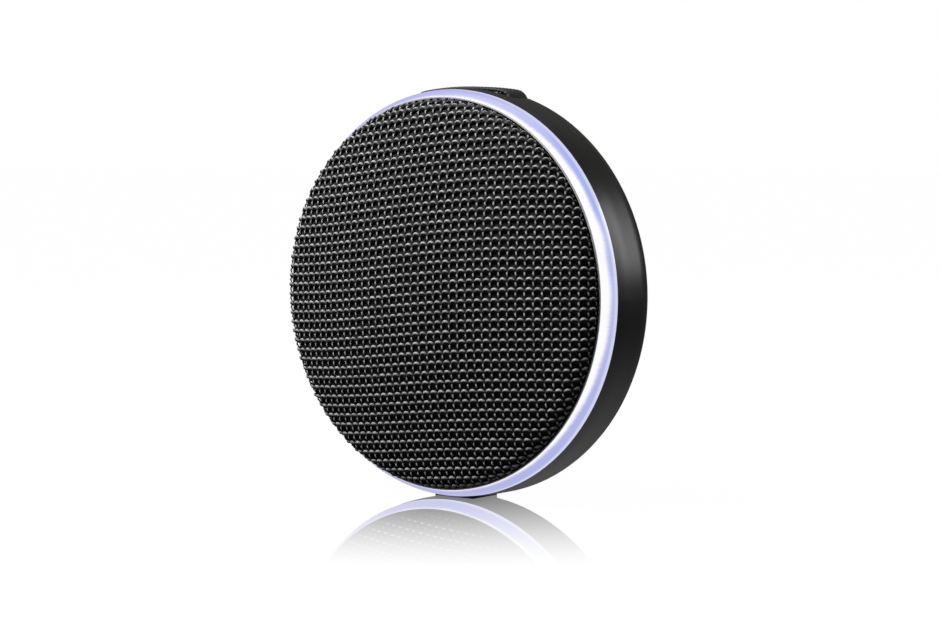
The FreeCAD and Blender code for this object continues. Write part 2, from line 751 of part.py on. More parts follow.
# ---- front baffle, seal and screws ----
def hexagon(x, z, corner):
    """A socket for a hexagon key."""
    turns = [as_size(FULL_TURN / 6 * k) for k in range(6)]
    return [(x + corner * turn.cosine(), z + corner * turn.sine()) for turn in turns]


def screws(label, places, shank, seat_y, tip):
    """A set of like screws: their heads lie in front of seat_y, or behind it when the tip is in front."""
    head, height = shank * HEAD_RADIUS, shank * HEAD_HEIGHT
    body = new_body(label)
    forward = as_size(tip).value > as_size(seat_y).value
    face = seat_y - height if forward else seat_y
    pad(body, [(x, z, head) for x, z in places], face, face + height)
    pad(body, [(x, z, shank) for x, z in places], *((seat_y, tip) if forward else (tip, seat_y)))
    socket = face if forward else face + height / 2
    pocket(body, [hexagon(x, z, shank) for x, z in places], socket, socket + height / 2)


def circle_places(radius, count, first=0):
    """Centres spread evenly round a circle, clockwise from an angle off the top."""
    angles = [as_size(first + FULL_TURN / count * k) for k in range(count)]
    return [(radius * a.sine(), radius * a.cosine()) for a in angles]


def post_places():
    return circle_places(post_circle, int(s.post_count.value))


def driver_screw_places():
    return circle_places(s.basket_radius - s.small_inset, DRIVER_SCREWS, FULL_TURN / (2 * DRIVER_SCREWS))


def make_baffle():
    edge_inner = baffle_radius - s.skirt
    skirt_back = s.led_plate - s.seal
    baffle = turned("front_baffle", [
        (0, baffle_front), (baffle_radius, baffle_front), (baffle_radius, skirt_back),
        (edge_inner, skirt_back), (edge_inner, baffle_back), (0, baffle_back),
    ])
    through = (baffle_front - PAST, baffle_back + PAST)
    pocket(baffle, [(x, z, s.pilot + s.screw_gap) for x, z in post_places()], *through)
    pocket(baffle, [(0, s.driver_z, s.driver_opening)], *through)
    pocket(baffle, [lowered(racetrack(s.radiator_half, s.radiator_radius))], *through)
    blind = [(x, z + s.driver_z, s.small_shank) for x, z in driver_screw_places()]
    pocket(baffle, blind, baffle_back - s.small_reach, baffle_back)
    ring("main_seal", edge_inner + s.seal_inset, baffle_radius - s.seal_inset, skirt_back, s.led_plate)
    screws("housing_screws", post_places(), s.pilot, baffle_front, s.screw_reach)


# ---- loudspeaker ----
def make_driver():
    z = s.driver_z
    plate_back = cone_front + s.basket_plate
    shelf = s.motor_front - s.spider_shelf
    rim, flare, neck_wall = s.driver_opening - 0.8, 1.4, 0.6
    floor_hole, floor_wall, shelf_inner = 9.0, 1.0, 14.6
    basket = turned("driver_basket", [
        (rim, cone_front), (s.basket_radius, cone_front), (s.basket_radius, plate_back),
        (rim + flare, plate_back), (s.throat, s.motor_front), (floor_hole, s.motor_front),
        (floor_hole, s.motor_front - floor_wall), (shelf_inner, s.motor_front - floor_wall),
        (shelf_inner, shelf), (s.throat - neck_wall, shelf),
    ], z=z)
    window_inner, window_outer, window_half = 17.8, 22.3, 26
    window = pocket(basket, [sector(window_inner, window_outer, 0, window_half)],
                    plate_back + NEAR_PAST, s.motor_front + PAST)
    around(basket, [window], DRIVER_SCREWS)
    screw_holes = [(x, y, s.small_shank + s.thin_gap) for x, y in driver_screw_places()]
    pocket(basket, screw_holes, cone_front - PAST, plate_back + PAST)
    land = s.driver_opening + s.land
    gasket_inner = land + NEAR_PAST
    gasket = turned("driver_gasket", rectangle(gasket_inner, s.basket_radius, baffle_back, cone_front), z=z)
    pocket(gasket, screw_holes, baffle_back - PAST, cone_front + PAST)
    half_roll("driver_surround", land, z)
    make_cone(z)
    make_motor(z)
    make_terminals(z, plate_back)
    places = [(x, y + z) for x, y in driver_screw_places()]
    screws("driver_screws", places, s.small_shank, plate_back, baffle_back - s.small_reach)


def make_terminals(z, plate_back):
    """A strip at the basket's side with two tabs for the loudspeaker's lead."""
    inset, thick, half_strip, deep = 0.4, 1.2, 4.5, 5.3
    tab_middle, tab_half, tab_front, tab_back = 2.6, 0.9, 2, 4.5
    terminals = new_body("driver_terminals", z=z)
    outer = -s.basket_radius + inset
    inner = outer + thick
    pad(terminals, [rectangle(outer, inner, -half_strip, half_strip)], plate_back, plate_back + deep)
    tabs = [rectangle(inner, inner + thick, side * tab_middle - tab_half, side * tab_middle + tab_half)
            for side in (-1, 1)]
    pad(terminals, tabs, plate_back + tab_front, plate_back + tab_back)


def half_roll(label, land, z):
    """The rubber edge of the cone: a half round between two flat lands."""
    rim, glue, roll = 0.9, 1.1, as_size(2.15)
    middle = (s.cone_radius + s.driver_opening - rim) / 2
    thick = s.gasket
    under = roll - thick
    foot = (roll * roll - thick * thick).root()
    inner = s.cone_radius - glue
    turned(label, [
        (land, cone_front), (middle + under, cone_front), (middle, cone_front - under, under),
        (middle - under, cone_front, under), (inner, cone_front),
        (inner, baffle_back), (middle - foot, baffle_back),
        (middle, cone_front - roll, -roll), (middle + foot, baffle_back, -roll), (land, baffle_back),
    ], z=z)


def make_cone(z):
    neck = s.coil_radius + s.slack
    back = cone_front + s.cone_depth
    thick, edge, edge_drop, turn_in = 0.6, 1.0, 0.5, 0.7
    turned("driver_cone", [
        (s.cone_radius - edge, cone_front), (s.cone_radius, cone_front),
        (s.cone_radius, cone_front + edge_drop), (s.cone_radius - turn_in, cone_front + edge_drop),
        (neck, back), (neck, back - thick),
    ], z=z)
    cap_edge, cap_rise, cap_wall, cap_sunk = as_size(8.2), as_size(2.1), 0.4, 1.7
    cap = (cap_edge * cap_edge + cap_rise * cap_rise) / (2 * cap_rise)
    cap_back = back - cap_sunk
    inner = ((cap - cap_wall) * (cap - cap_wall) - (cap - cap_rise) * (cap - cap_rise)).root()
    turned("dust_cap", [
        (0, cap_back - cap_rise), (cap_edge, cap_back, cap), (inner, cap_back),
        (0, cap_back - cap_rise + cap_wall, -(cap - cap_wall)),
    ], z=z)
    into_cone, past_plate = 0.7, 1.2
    turned("voice_coil", rectangle(
        s.coil_radius - s.coil_wall, s.coil_radius, back - into_cone,
        s.motor_front + s.iron + past_plate), z=z)
    folds, sheet_thick, fold_height, fit = 6, 0.35, 0.55, 0.1
    rest = s.motor_front - s.spider_shelf - sheet_thick
    first, last = s.coil_radius + fit, as_size(16.2)
    step = (last - first) / folds
    front = [(first + step * k, rest - fold_height * (k % 2)) for k in range(folds + 1)]
    rear = [(r, y + sheet_thick) for r, y in reversed(front)]
    turned("driver_spider", front + rear, z=z)


def make_motor(z):
    pole = s.coil_radius - s.coil_wall - s.coil_gap
    plate_back = s.motor_front + s.iron
    magnet_back = plate_back + s.magnet
    plate_inset, yoke_inset, pole_low, bevel = 2, 1, 0.2, 0.8
    turned("driver_top_plate", rectangle(
        s.coil_radius + s.coil_gap, s.magnet_radius - plate_inset, s.motor_front, plate_back), z=z)
    turned("driver_magnet", rectangle(
        s.magnet_radius / 2, s.magnet_radius, plate_back, magnet_back), z=z)
    pole_front = s.motor_front + pole_low
    yoke_radius, yoke_back = s.magnet_radius - yoke_inset, magnet_back + s.yoke
    turned("driver_yoke", [
        (0, pole_front), (pole, pole_front), (pole, magnet_back),
        (yoke_radius, magnet_back), (yoke_radius, yoke_back - bevel),
        (yoke_radius - bevel, yoke_back), (0, yoke_back),
    ], z=z)


# ---- passive radiator ----
def lowered(loop):
    """Moves an outline down to the radiator's centre."""
    return [(x, z + s.radiator_z, *arc) for x, z, *arc in loop]


def track(radius):
    return racetrack(s.radiator_half, radius)


def make_radiator():
    z = s.radiator_z
    opening = s.radiator_radius
    frame_edge, frame_seat, frame_lap, land, clamp = 4, 1.6, 0.2, 0.6, 1.5
    seat_back = baffle_back + land
    frame = new_body("radiator_frame", z=z)
    pad(frame, [track(opening + frame_edge), track(opening + frame_seat)], baffle_back, seat_back)
    pad(frame, [track(opening + frame_edge), track(opening - frame_lap)], seat_back, seat_back + clamp)
    surround = new_body("radiator_surround", z=z)
    edge, glue = opening + 1.4, s.radiator_plate - 0.7
    pad(surround, [track(edge), track(glue)], baffle_back, seat_back)
    crest_outer, crest_inner = opening - 0.5, s.radiator_plate + 0.3
    step_in, hollow_in = 0.6, 0.7
    step_front, crest_front, hollow_front = baffle_back - 0.8, baffle_back - 1.3, baffle_back - 0.6
    pad(surround, [track(crest_outer), track(crest_inner)], step_front, baffle_back + land / 2)
    pad(surround, [track(crest_outer - step_in), track(crest_inner + step_in)], crest_front, baffle_back)
    pocket(surround, [track(crest_outer - hollow_in), track(crest_inner + hollow_in)],
           hollow_front, seat_back + NEAR_PAST)
    plate, weight_depth, weight_inset = 1, 2, 3.7
    piston = new_body("radiator_piston", z=z)
    pad(piston, [track(s.radiator_plate)], seat_back, seat_back + plate)
    weight = new_body("radiator_weight", z=z)
    weight_front = seat_back + plate
    pad(weight, [track(s.radiator_plate - weight_inset)], weight_front, weight_front + weight_depth)


# ---- battery ----
def make_battery():
    z = s.radiator_z
    half_w, half_h = s.battery_width / 2, s.battery_height / 2
    corner, room, floor_front = as_size(3.0), 0.3, 2
    battery = new_body("battery", z=z)
    pad(battery, [rounded(-half_w, half_w, -half_h, half_h, corner)], s.battery_front, battery_back)
    foam_back, foam_side, foam_end = battery_back + s.foam, 4, 3
    block("battery_foam", foam_side - half_w, half_w - foam_side, battery_back, foam_back,
          z - half_h + foam_end, z + half_h - foam_end)
    tray = room + s.cradle
    cradle = new_body("battery_cradle", z=z)
    outline = rounded(-half_w - tray, half_w + tray, -half_h - tray, half_h + tray, corner + s.cradle)
    pad(cradle, [outline], s.battery_front + floor_front, foam_back + s.cradle)
    inside = rounded(-half_w - room, half_w + room, -half_h - room, half_h + room, corner)
    pocket(cradle, [inside], s.battery_front + floor_front - PAST, foam_back)
    leg_side, leg_end, leg = half_w - 4.5, half_h - 4, 2.5
    legs = [(x * leg_side, y * leg_end, leg) for x in (-1, 1) for y in (-1, 1)]
    pad(cradle, legs, foam_back + s.cradle, rear_inner)


# ---- main board ----
def along_board(left, right, bottom, top):
    """A rectangle on the main board, its sides measured from the board's outer edge."""
    return rectangle(board_left + left, board_left + right, as_size(bottom), as_size(top))


def chips(label, outlines, height):
    body = new_body(label)
    pad(body, outlines, s.board_front - height, s.board_front)
    return body


def make_board():
    main = new_body("main_board")
    right = board_left + s.board_width
    slope_side, slope_end, foot_side, foot_end = 5, 11, 2.5, 5
    pad(main, [[
        (right, s.board_bottom), (right, s.board_top), (board_left + slope_side, s.board_top),
        (board_left, s.board_top - slope_end), (board_left, s.board_bottom + foot_end),
        (board_left + foot_side, s.board_bottom),
    ]], s.board_front, board_back)
    corners = board_corners()
    pocket(main, [(x, z, s.pilot + s.thin_gap) for x, z in corners],
           s.board_front - PAST, board_back + PAST)
    screw_reach = 4
    screws("board_screws", corners, s.pilot, s.board_front, board_back + screw_reach)
    for label, outline, height in CHIPS:
        chips(label, [along_board(*outline)], height)
    coil, coil_height = 5, 3.0
    coils = [along_board(x, x + coil, z, z + coil) for x in (13.5, 20) for z in (-5, 1.3)]
    chips("inductors", coils, coil_height)
    can, can_height, can_up = 2.5, 6.0, 4.2
    cans = [(board_left + x, s.board_bottom + can_up, can) for x in (17, 23)]
    chips("capacitors", cans, can_height)
    tall, low = 4.5, 3.5
    sockets = chips("lead_sockets", [along_board(26.5, 31.5, -8, -4), along_board(26.5, 31.5, 4, 8)], tall)
    pad(sockets, [along_board(10, 14, 14, 18)], s.board_front - low, s.board_front)


def make_sockets():
    y, z = usb_centre_y(), s.usb_z
    half_y, half_z = s.usb_height / 2, s.usb_width / 2
    shell, back_wall = 0.3, 0.6
    tongue_y, tongue_z, tongue_front = 0.35, 3.35, 0.8
    usb_back = s.usb_length - socket_face
    usb = new_body("usb_socket")
    outside = rounded(y - half_y, y + half_y, z - half_z, z + half_z, half_y * USB_ROUND)
    pad(usb, [outside], -socket_face, usb_back, role=YZ)
    inside = rounded(y - half_y + shell, y + half_y - shell, z - half_z + shell, z + half_z - shell,
                     (half_y - shell) * USB_ROUND)
    pocket(usb, [inside], -socket_face - PAST, usb_back - back_wall, role=YZ)
    pad(usb, [rectangle(y - tongue_y, y + tongue_y, z - tongue_z, z + tongue_z)],
        tongue_front - socket_face, usb_back, role=YZ)
    y, z = jack_centre_y(), s.jack_z
    half_body, into_body = 3, 0.5
    nose_front, jack_back = -socket_face - s.jack_nose, s.jack_length - socket_face
    jack = new_body("aux_jack")
    pad(jack, [rectangle(s.board_front - s.jack_side, s.board_front, z - half_body, z + half_body)],
        -socket_face, jack_back, role=YZ)
    pad(jack, [(y, z, s.jack_bore + s.nose_wall)], nose_front, into_body - socket_face, role=YZ)
    pocket(jack, [(y, z, s.jack_bore)], nose_front - PAST, jack_back - s.jack_nose, role=YZ)


# ---- keys ----
def make_keys():
    flange, flange_depth, edge = 1.1, 1.35, as_size(0.6)
    plate_half, screw_short, hole_depth, hole_gap, plunger_in = 5, 0.5, 1.2, 0.15, 0.8
    key_foot, key_top = rear_inner - flange_depth, s.rear_depth - s.key_sunk
    ends = key_board_ends()
    plate = new_body("key_board")
    plate_turn = s.key_step * KEYS_BESIDE + s.key_plate_turn
    pad(plate, [sector(s.key_circle - plate_half, s.key_circle + plate_half, 0, plate_turn)],
        key_board_front, key_board_back)
    # a tab keeps the key board under its flat lead, wherever the main board ends
    flex_left, flex_right = flex_sides()
    last_key = s.key_circle * (s.key_step * KEYS_BESIDE).sine()
    for side in (flex_right, -last_key):
        pad(plate, [rectangle(flex_left, side, s.flex_bend, s.flex_top)], key_board_front, key_board_back)
    pocket(plate, [(x, z, s.pilot + s.thin_gap) for x, z in ends],
           key_board_front - PAST, key_board_back + PAST)
    screws("key_screws", ends, s.pilot, key_board_front, rear_inner - screw_short)
    half = s.switch_side / 2
    switches = new_body("key_switches")
    switch_top = key_board_back + s.switch
    places = list(key_places())
    pad(switches, [rectangle(x - half, x + half, z - half, z + half) for _, x, z in places],
        key_board_back, switch_top)
    pocket(switches, [(x, z, s.plunger + hole_gap) for _, x, z in places],
           switch_top - hole_depth, switch_top + PAST)
    flange_radius, flange_back = s.key_radius + flange, rear_inner - s.slack
    for name, x, z in places:
        turned(f"{name}_key", [
            (0, key_foot), (flange_radius, key_foot), (flange_radius, flange_back),
            (s.key_radius, flange_back), (s.key_radius, key_top - edge),
            (s.key_radius - edge, key_top, edge), (0, key_top),
        ], x=x, z=z)
        rod(f"{name}_plunger", x, z, s.plunger, switch_top - plunger_in, key_foot)
    mic_x, mic_z = mic_place()
    can_half_x, can_half_z, can_depth, port, port_floor = 1.5, 1.0, 1.1, 0.4, 0.6
    can = new_body("microphone", x=mic_x, z=mic_z)
    pad(can, [rectangle(-can_half_x, can_half_x, -can_half_z, can_half_z)],
        key_board_back, key_board_back + can_depth)
    pocket(can, [(0, 0, port)], key_board_back + port_floor, key_board_back + can_depth + PAST)


# ---- strap and foot ----
def make_strap():
    tangent_x, tangent_z, centre_z = strap_curve()
    top_centre = strap_top - s.strap_crown
    scale = (s.strap_crown - s.strap) / (s.strap_crown - s.strap_bend)
    inner_x = (s.strap_leg - s.strap_bend) * scale
    inner_z = top_centre + (centre_z - top_centre) * scale
    leg, inside, bend = s.strap_leg, s.strap_leg - s.strap, s.strap_bend
    loop = s.strap_loop
    loop_z = strap_shelf_floor() - s.slot_gap - loop
    loop_x = s.strap_leg - s.strap / 2
    strap_back = s.strap_front + s.strap_width
    strap = new_body("strap")
    pad(strap, [[
        (leg, loop_z), (leg, centre_z),
        (tangent_x, tangent_z, bend), (-tangent_x, tangent_z, s.strap_crown),
        (-leg, centre_z, bend), (-leg, loop_z), (-inside, loop_z), (-inside, centre_z),
        (-inner_x, inner_z, s.strap - bend), (inner_x, inner_z, s.strap - s.strap_crown),
        (inside, centre_z, s.strap - bend), (inside, loop_z),
    ]], s.strap_front, strap_back)
    pad(strap, [(side * loop_x, loop_z, loop) for side in (-1, 1)], s.strap_front, strap_back)
    pocket(strap, [(side * loop_x, loop_z, s.strap_pin + s.slack) for side in (-1, 1)],
           s.strap_front - PAST, strap_back + PAST)
    pins = [rod(f"pin_{i}", side * loop_x, loop_z, s.strap_pin,
                s.strap_front - s.pin_end, strap_back + s.pin_end, kept=False)
            for i, side in enumerate((-1, 1))]
    group("strap_pins", pins)


def make_foot():
    foot = new_body("foot_pad")
    pad(foot, [foot_outline(0)], -s.disc_radius - s.foot_proud, s.foot_sunk - s.disc_radius, role=XY)


# ---- wiring inside ----
def make_leads():
    """Leads hang in front of the main board and drop into its sockets."""
    socket_x, socket_z, hang, drop = board_left + 29, 6, 8, 4.5
    thick, thin = 0.9, 0.6
    over, plug = s.board_front - hang, s.board_front - drop
    tab_x, tab_z = 4.5 - s.battery_width / 2, s.radiator_z + 11
    lead("battery_lead", [
        (tab_x, s.battery_front, tab_z), (tab_x, over, tab_z), (socket_x, over, -socket_z),
        (socket_x, plug, -socket_z)], thick)
    strip_x = -s.basket_radius + 0.4
    lead("driver_lead", [
        (strip_x, over, s.driver_z), (socket_x, over, s.driver_z), (socket_x, over, socket_z),
        (socket_x, plug, socket_z)], thick)
    lead_x, lead_z = light_lead_place()
    side_x, side_y, side_z, rise, run = board_left + 6.5, s.board_front - 1.8, 16, 5.2, 3.5
    lead("light_lead", [
        (lead_x, ledge_front, lead_z), (lead_x, ledge_front + rise, lead_z), (side_x, side_y, side_z),
        (side_x + run, side_y, side_z)], thin)
    make_flex()


def make_flex():
    """A flat lead from the key board over the top of the main board."""
    ply, board_end = 0.3, 18
    lap = as_size(ply) / 3
    near, far, top = key_board_front, board_back + ply, s.board_top + s.flex_edge
    flex = new_body("key_flex")
    pad(flex, [[
        (near, s.flex_top), (near - ply, s.flex_top), (near - ply, s.flex_bend), (board_back, top + lap),
        (board_back, board_end), (far, board_end), (far, top), (near, s.flex_bend - lap),
    ]], *flex_sides(), role=YZ)


def check_and_write():
    """Stop on any failed feature, any cut that cuts nothing, or any bad solid; then write the parts."""
    for thing in doc.Objects:
        if {"Invalid", "Error"} & set(thing.State):
            raise RuntimeError(f"{thing.Name}: {thing.State}")
        if thing.TypeId == "PartDesign::Pocket":
            removed = thing.BaseFeature.Shape.Volume - thing.Shape.Volume
            if removed < SLIVER:
                raise RuntimeError(f"{thing.Name} cuts nothing")
    if len(subparts) > FILE_LIMIT:
        raise RuntimeError("too many sub-parts")
    for part in subparts:
        if part.Shape.isNull() or not part.Shape.isValid() or not part.Shape.Solids:
            raise RuntimeError(f"{part.Label} has no valid solid")
    os.makedirs("parts", exist_ok=True)
    for part in subparts:
        part.Shape.exportStep(f"parts/{part.Label}.step")
    print(len(subparts), "sub-parts written")


make_grille()
make_light()
make_housing()
make_baffle()
make_driver()
make_radiator()
make_battery()
make_board()
make_sockets()
make_keys()
make_strap()
make_foot()
doc.recompute()
make_leads()
doc.recompute()
check_and_write()
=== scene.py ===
"""Detail, finishes and studio of a round smart speaker that stands on its edge.

A woven dome is stretched over the front, a light ring runs round it, and a soft-touch rear housing carries
five keys, a strap sunk in its crown and a rubber foot. Lengths in the code are in metres.
"""
import json
from math import asin, cos, pi, radians, sin, sqrt, tan
from typing import NamedTuple

import bpy
import numpy as np
from bpy.props import FloatProperty, FloatVectorProperty, IntProperty, PointerProperty
from mathutils import Matrix, Vector


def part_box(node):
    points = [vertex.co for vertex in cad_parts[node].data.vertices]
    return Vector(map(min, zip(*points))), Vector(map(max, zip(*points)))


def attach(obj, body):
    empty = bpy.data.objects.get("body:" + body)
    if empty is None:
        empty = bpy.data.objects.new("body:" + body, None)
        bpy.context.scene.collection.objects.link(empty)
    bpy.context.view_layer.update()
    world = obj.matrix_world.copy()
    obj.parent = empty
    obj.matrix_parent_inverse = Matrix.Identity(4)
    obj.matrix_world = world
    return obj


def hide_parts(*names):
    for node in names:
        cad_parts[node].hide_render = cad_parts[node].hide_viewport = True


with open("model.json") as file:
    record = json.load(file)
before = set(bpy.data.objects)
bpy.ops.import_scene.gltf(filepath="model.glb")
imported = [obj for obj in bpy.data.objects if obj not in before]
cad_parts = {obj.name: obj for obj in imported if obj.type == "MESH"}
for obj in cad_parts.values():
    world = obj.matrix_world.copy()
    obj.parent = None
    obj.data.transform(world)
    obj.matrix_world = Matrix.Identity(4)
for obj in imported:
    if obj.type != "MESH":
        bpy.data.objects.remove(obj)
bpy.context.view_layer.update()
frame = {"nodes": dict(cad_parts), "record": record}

bl_info = {
    "name": "Round Smart Speaker",
    "version": (1, 0, 0),
    "blender": (4, 5, 0),
    "location": "View3D > Sidebar > Speaker",
    "description": "Cloth, light ring, strap, keys and studio of a round smart speaker",
    "category": "Object",
}

MM = 0.001
NODES = frame["nodes"]
RING_WIDTH = 2.5 * MM
# lamps behind the light ring
LAMPS = 24
# radius of the cloth's roll at the edge of the dome
DOME_ROLL = 5.5 * MM
# strap: flat width and half thickness; outer side of a leg; outer radii of a shoulder and the crown
STRAP_WIDTH, STRAP_HALF = 10 * MM, 0.7 * MM
STRAP_LEG, STRAP_BEND, STRAP_CROWN = 20 * MM, 5 * MM, 116 * MM


def spot(node):
    """Middle of a CAD node's box."""
    low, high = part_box(node)
    return (low + high) / 2


RING_LOW, RING_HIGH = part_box("light_ring")
CENTRE = spot("light_ring")
CENTRE.y = RING_HIGH.y


# ---- settings ----
def length(name, description, default, **more):
    return FloatProperty(name=name, description=description, default=default, unit="LENGTH",
                         subtype="DISTANCE", precision=5, **more)


def colour(name, description, default):
    return FloatVectorProperty(name=name, description=description, default=default, size=3,
                               subtype="COLOR", min=0.0, max=1.0)


def plain(name, description, default, **more):
    return FloatProperty(name=name, description=description, default=default, **more)


def turned(name, description, degrees):
    return FloatProperty(name=name, description=description, default=radians(degrees), subtype="ANGLE",
                         unit="ROTATION")


class ClothSettings(bpy.types.PropertyGroup):
    """Weave of the grille cloth."""
    column_pitch: length("Column pitch", "Distance between upright yarns", 3.03 * MM)
    row_pitch: length("Row pitch", "Distance between level yarns", 3.16 * MM)
    row_half: length("Row yarn", "Half the width of a level yarn", 0.66 * MM)
    column_half: length("Column yarn", "Half the width of an upright yarn", 0.34 * MM)
    droop: length("Droop", "How far a level yarn drops between its floats", 0.78 * MM)
    slope: turned("Slope", "Mean slope of the rows", 3.9)
    swing: turned("Swing", "Change of the rows' slope across the dome", 2.3)
    slant: length("Slant", "Side swing of an upright yarn in each float", 0.14 * MM)
    steps: IntProperty(name="Steps", description="Divisions of a yarn in each cell", default=7, min=4)
    yarn: colour("Yarn", "Colour in the depth of the weave", (0.0055, 0.0055, 0.006))
    # crest is the colour of the painted highlight on top of the floats, not a colour of the yarn
    crest: colour("Crest", "Colour on top of the floats", (0.26, 0.26, 0.265))


class RingSettings(bpy.types.PropertyGroup):
    """Glow of the light ring."""
    core: colour("Core", "Colour of the bright core", (1.0, 0.99, 1.0))
    glow: colour("Glow", "Colour away from the core", (0.46, 0.47, 0.80))
    edge: colour("Edge", "Colour of the outer edge line", (0.7, 0.71, 0.88))
    cool: colour("Cool", "Colour of the bluer stretches behind the core", (0.35, 0.44, 0.86))
    strength: plain("Strength", "Strength of the glow", 0.98, min=0.0)


class BodySettings(bpy.types.PropertyGroup):
    """Housing, keys, strap and foot."""
    housing: colour("Housing", "Colour of the soft-touch coating", (0.008, 0.008, 0.008))
    housing_roughness: plain("Roughness", "Roughness of the housing", 0.29, min=0.0, max=1.0)
    bezel: colour("Bezel", "Colour of the lip round the cloth", (0.3, 0.3, 0.31))
    mark: colour("Marks", "Colour of the symbols on the keys", (0.5, 0.5, 0.5))
    mark_height: length("Mark height", "Height of the symbols", 0.14 * MM)
    rib: length("Webbing rib", "Length of a float in the strap", 1.5 * MM)
    warp: length("Webbing warp", "Width of a yarn in the strap", 0.84 * MM)


class StudioSettings(bpy.types.PropertyGroup):
    """Camera, lights and floor."""
    azimuth: turned("Azimuth", "Camera's bearing from the front", 38.5)
    elevation: turned("Elevation", "Camera's height over the object", 3.2)
    distance: length("Distance", "Camera to the light ring's centre", 0.786)
    lens: plain("Lens", "Focal length in millimetres", 93.5)
    shift_x: plain("Shift X", "Sideways shift of the lens", 0.0213)
    shift_y: plain("Shift Y", "Upright shift of the lens", -0.0178)
    floor: colour("Floor", "Colour of the floor", (0.02, 0.02, 0.02))
    floor_glow: plain("Floor glow", "Brightness that the floor has without lights", 0.99)
    backdrop: plain("Backdrop", "Brightness of the backdrop", 1.0)
    ambience: plain("Ambience", "Brightness of the room overhead in reflections", 0.06)
    horizon: plain("Horizon", "Brightness near the horizon in reflections", 0.07)
    bounce: plain("Bounce", "Brightness of the floor behind in reflections", 0.42)
    fill: plain("Fill", "Brightness of the room's soft light", 0.2)
    key: plain("Key", "Power of the key light", 8.4)
    side: plain("Side", "Power of the side light", 0.8)
    top: plain("Top", "Power of the top light", 1.0)


# ---- finishes ----
class Wire:
    """A node's output. Python's operators on it add maths nodes."""

    def __init__(self, finish, socket):
        self.finish = finish
        self.socket = socket

    def maths(self, operation, first, second=0.0):
        return self.finish.maths(operation, first, second)

    def __add__(self, other):
        return self.maths("ADD", self, other)

    def __radd__(self, other):
        return self.maths("ADD", other, self)

    def __sub__(self, other):
        return self.maths("SUBTRACT", self, other)

    def __rsub__(self, other):
        return self.maths("SUBTRACT", other, self)

    def __mul__(self, other):
        return self.maths("MULTIPLY", self, other)

    def __rmul__(self, other):
        return self.maths("MULTIPLY", other, self)

    def __truediv__(self, other):
        return self.maths("DIVIDE", self, other)

    def __pow__(self, other):
        return self.maths("POWER", self, other)

    def sine(self):
        return self.maths("SINE", self)

    def size(self):
        return self.maths("ABSOLUTE", self)

    def angle_to(self, other):
        return self.maths("ARCTAN2", self, other)

    def step(self, low, high, start=0.0, end=1.0):
        """Smooth change from start to end as this goes from low to high."""
        return self.finish.node("ShaderNodeMapRange", {"interpolation_type": "SMOOTHSTEP"}, {
            "Value": self, "From Min": low, "From Max": high, "To Min": start, "To Max": end})


class Finish:
    """A material, or the room's world, and the nodes that it is made of."""

    def __init__(self, name, shader="Principled BSDF", room=False, **fixed):
        self.material = (bpy.data.worlds if room else bpy.data.materials).new(name)
        self.material.use_nodes = True
        self.tree = self.material.node_tree
        self.shader = self.tree.nodes[shader]
        for socket, value in fixed.items():
            self.feed(socket.replace("_", " "), value)

    def feed(self, socket, value):
        """Sets or links an input of the main shader."""
        self.join(self.shader.inputs[socket], value)

    def join(self, socket, value):
        if isinstance(value, Wire):
            self.tree.links.new(value.socket, socket)
        elif socket.type == "RGBA" and len(value) == 3:
            socket.default_value = (*value, 1.0)
        else:
            socket.default_value = value

    def node(self, kind, settings=None, sockets=None, output=0):
        """A node with its settings, then its sockets' values or links. Returns one output."""
        made = self.tree.nodes.new(kind)
        for name, value in (settings or {}).items():
            setattr(made, name, value)
        for name, value in (sockets or {}).items():
            self.join(made.inputs[name], value)
        return Wire(self, made.outputs[output])

    def maths(self, operation, first, second=0.0):
        return self.node("ShaderNodeMath", {"operation": operation}, {0: first, 1: second})

    def place(self):
        """Object coordinates."""
        return self.node("ShaderNodeTexCoord", output="Object")

    def axes(self):
        """Object coordinates as three wires."""
        return self.split(self.place())

    def split(self, vector):
        """A vector's three parts."""
        parts = self.node("ShaderNodeSeparateXYZ", sockets={0: vector}).socket.node.outputs
        return [Wire(self, part) for part in parts]

    def attribute(self, name):
        return self.node("ShaderNodeAttribute", {"attribute_name": name}, output="Fac")

    def noise(self, scale, detail=2.0, roughness=0.5, vector=None):
        return self.node("ShaderNodeTexNoise", sockets={
            "Vector": vector or self.place(), "Scale": scale, "Detail": detail, "Roughness": roughness})

    def mix(self, factor, first, second):
        """Colour between two colours."""
        return self.node("ShaderNodeMix", {"data_type": "RGBA"}, {0: factor, 6: first, 7: second}, output=2)

    def bump(self, height, distance, strength=1.0):
        self.feed("Normal", self.node("ShaderNodeBump", sockets={
            "Height": height, "Distance": distance, "Strength": strength}))

    def along(self, x, y, z):
        """One vector from three values."""
        return self.node("ShaderNodeCombineXYZ", sockets={0: x, 1: y, 2: z})


def scaled(shade, factor):
    return tuple(min(1.0, part * factor) for part in shade)


def moulded(name, shade, roughness, grain=900.0, depth=0.02, spread=0.25, **fixed):
    """Moulded plastic or rubber: a fine spark texture, and slight changes of shade and gloss."""
    finish = Finish(name, **fixed)
    fine = finish.noise(grain * 1.7, detail=3.0)
    broad = finish.noise(grain / 18, detail=2.0)
    finish.feed("Base Color", finish.mix(broad, scaled(shade, 1 - spread), scaled(shade, 1 + spread)))
    finish.feed("Roughness", roughness - 0.05 + 0.1 * broad)
    finish.bump(fine, depth * MM, 0.6)
    return finish


def metal(name, shade, roughness, grain=700.0, **fixed):
    """Pressed or turned metal with fine scratches and stains."""
    finish = Finish(name, Metallic=1.0, **fixed)
    x, y, z = finish.axes()
    brushed = finish.noise(grain, detail=4.0, vector=finish.along(x * 0.2, y, z))
    finish.feed("Base Color", finish.mix(brushed, scaled(shade, 0.72), scaled(shade, 1.1)))
    finish.feed("Roughness", roughness - 0.08 + 0.2 * finish.noise(grain / 9, detail=3.0))
    finish.bump(brushed, 0.01 * MM, 0.5)
    return finish


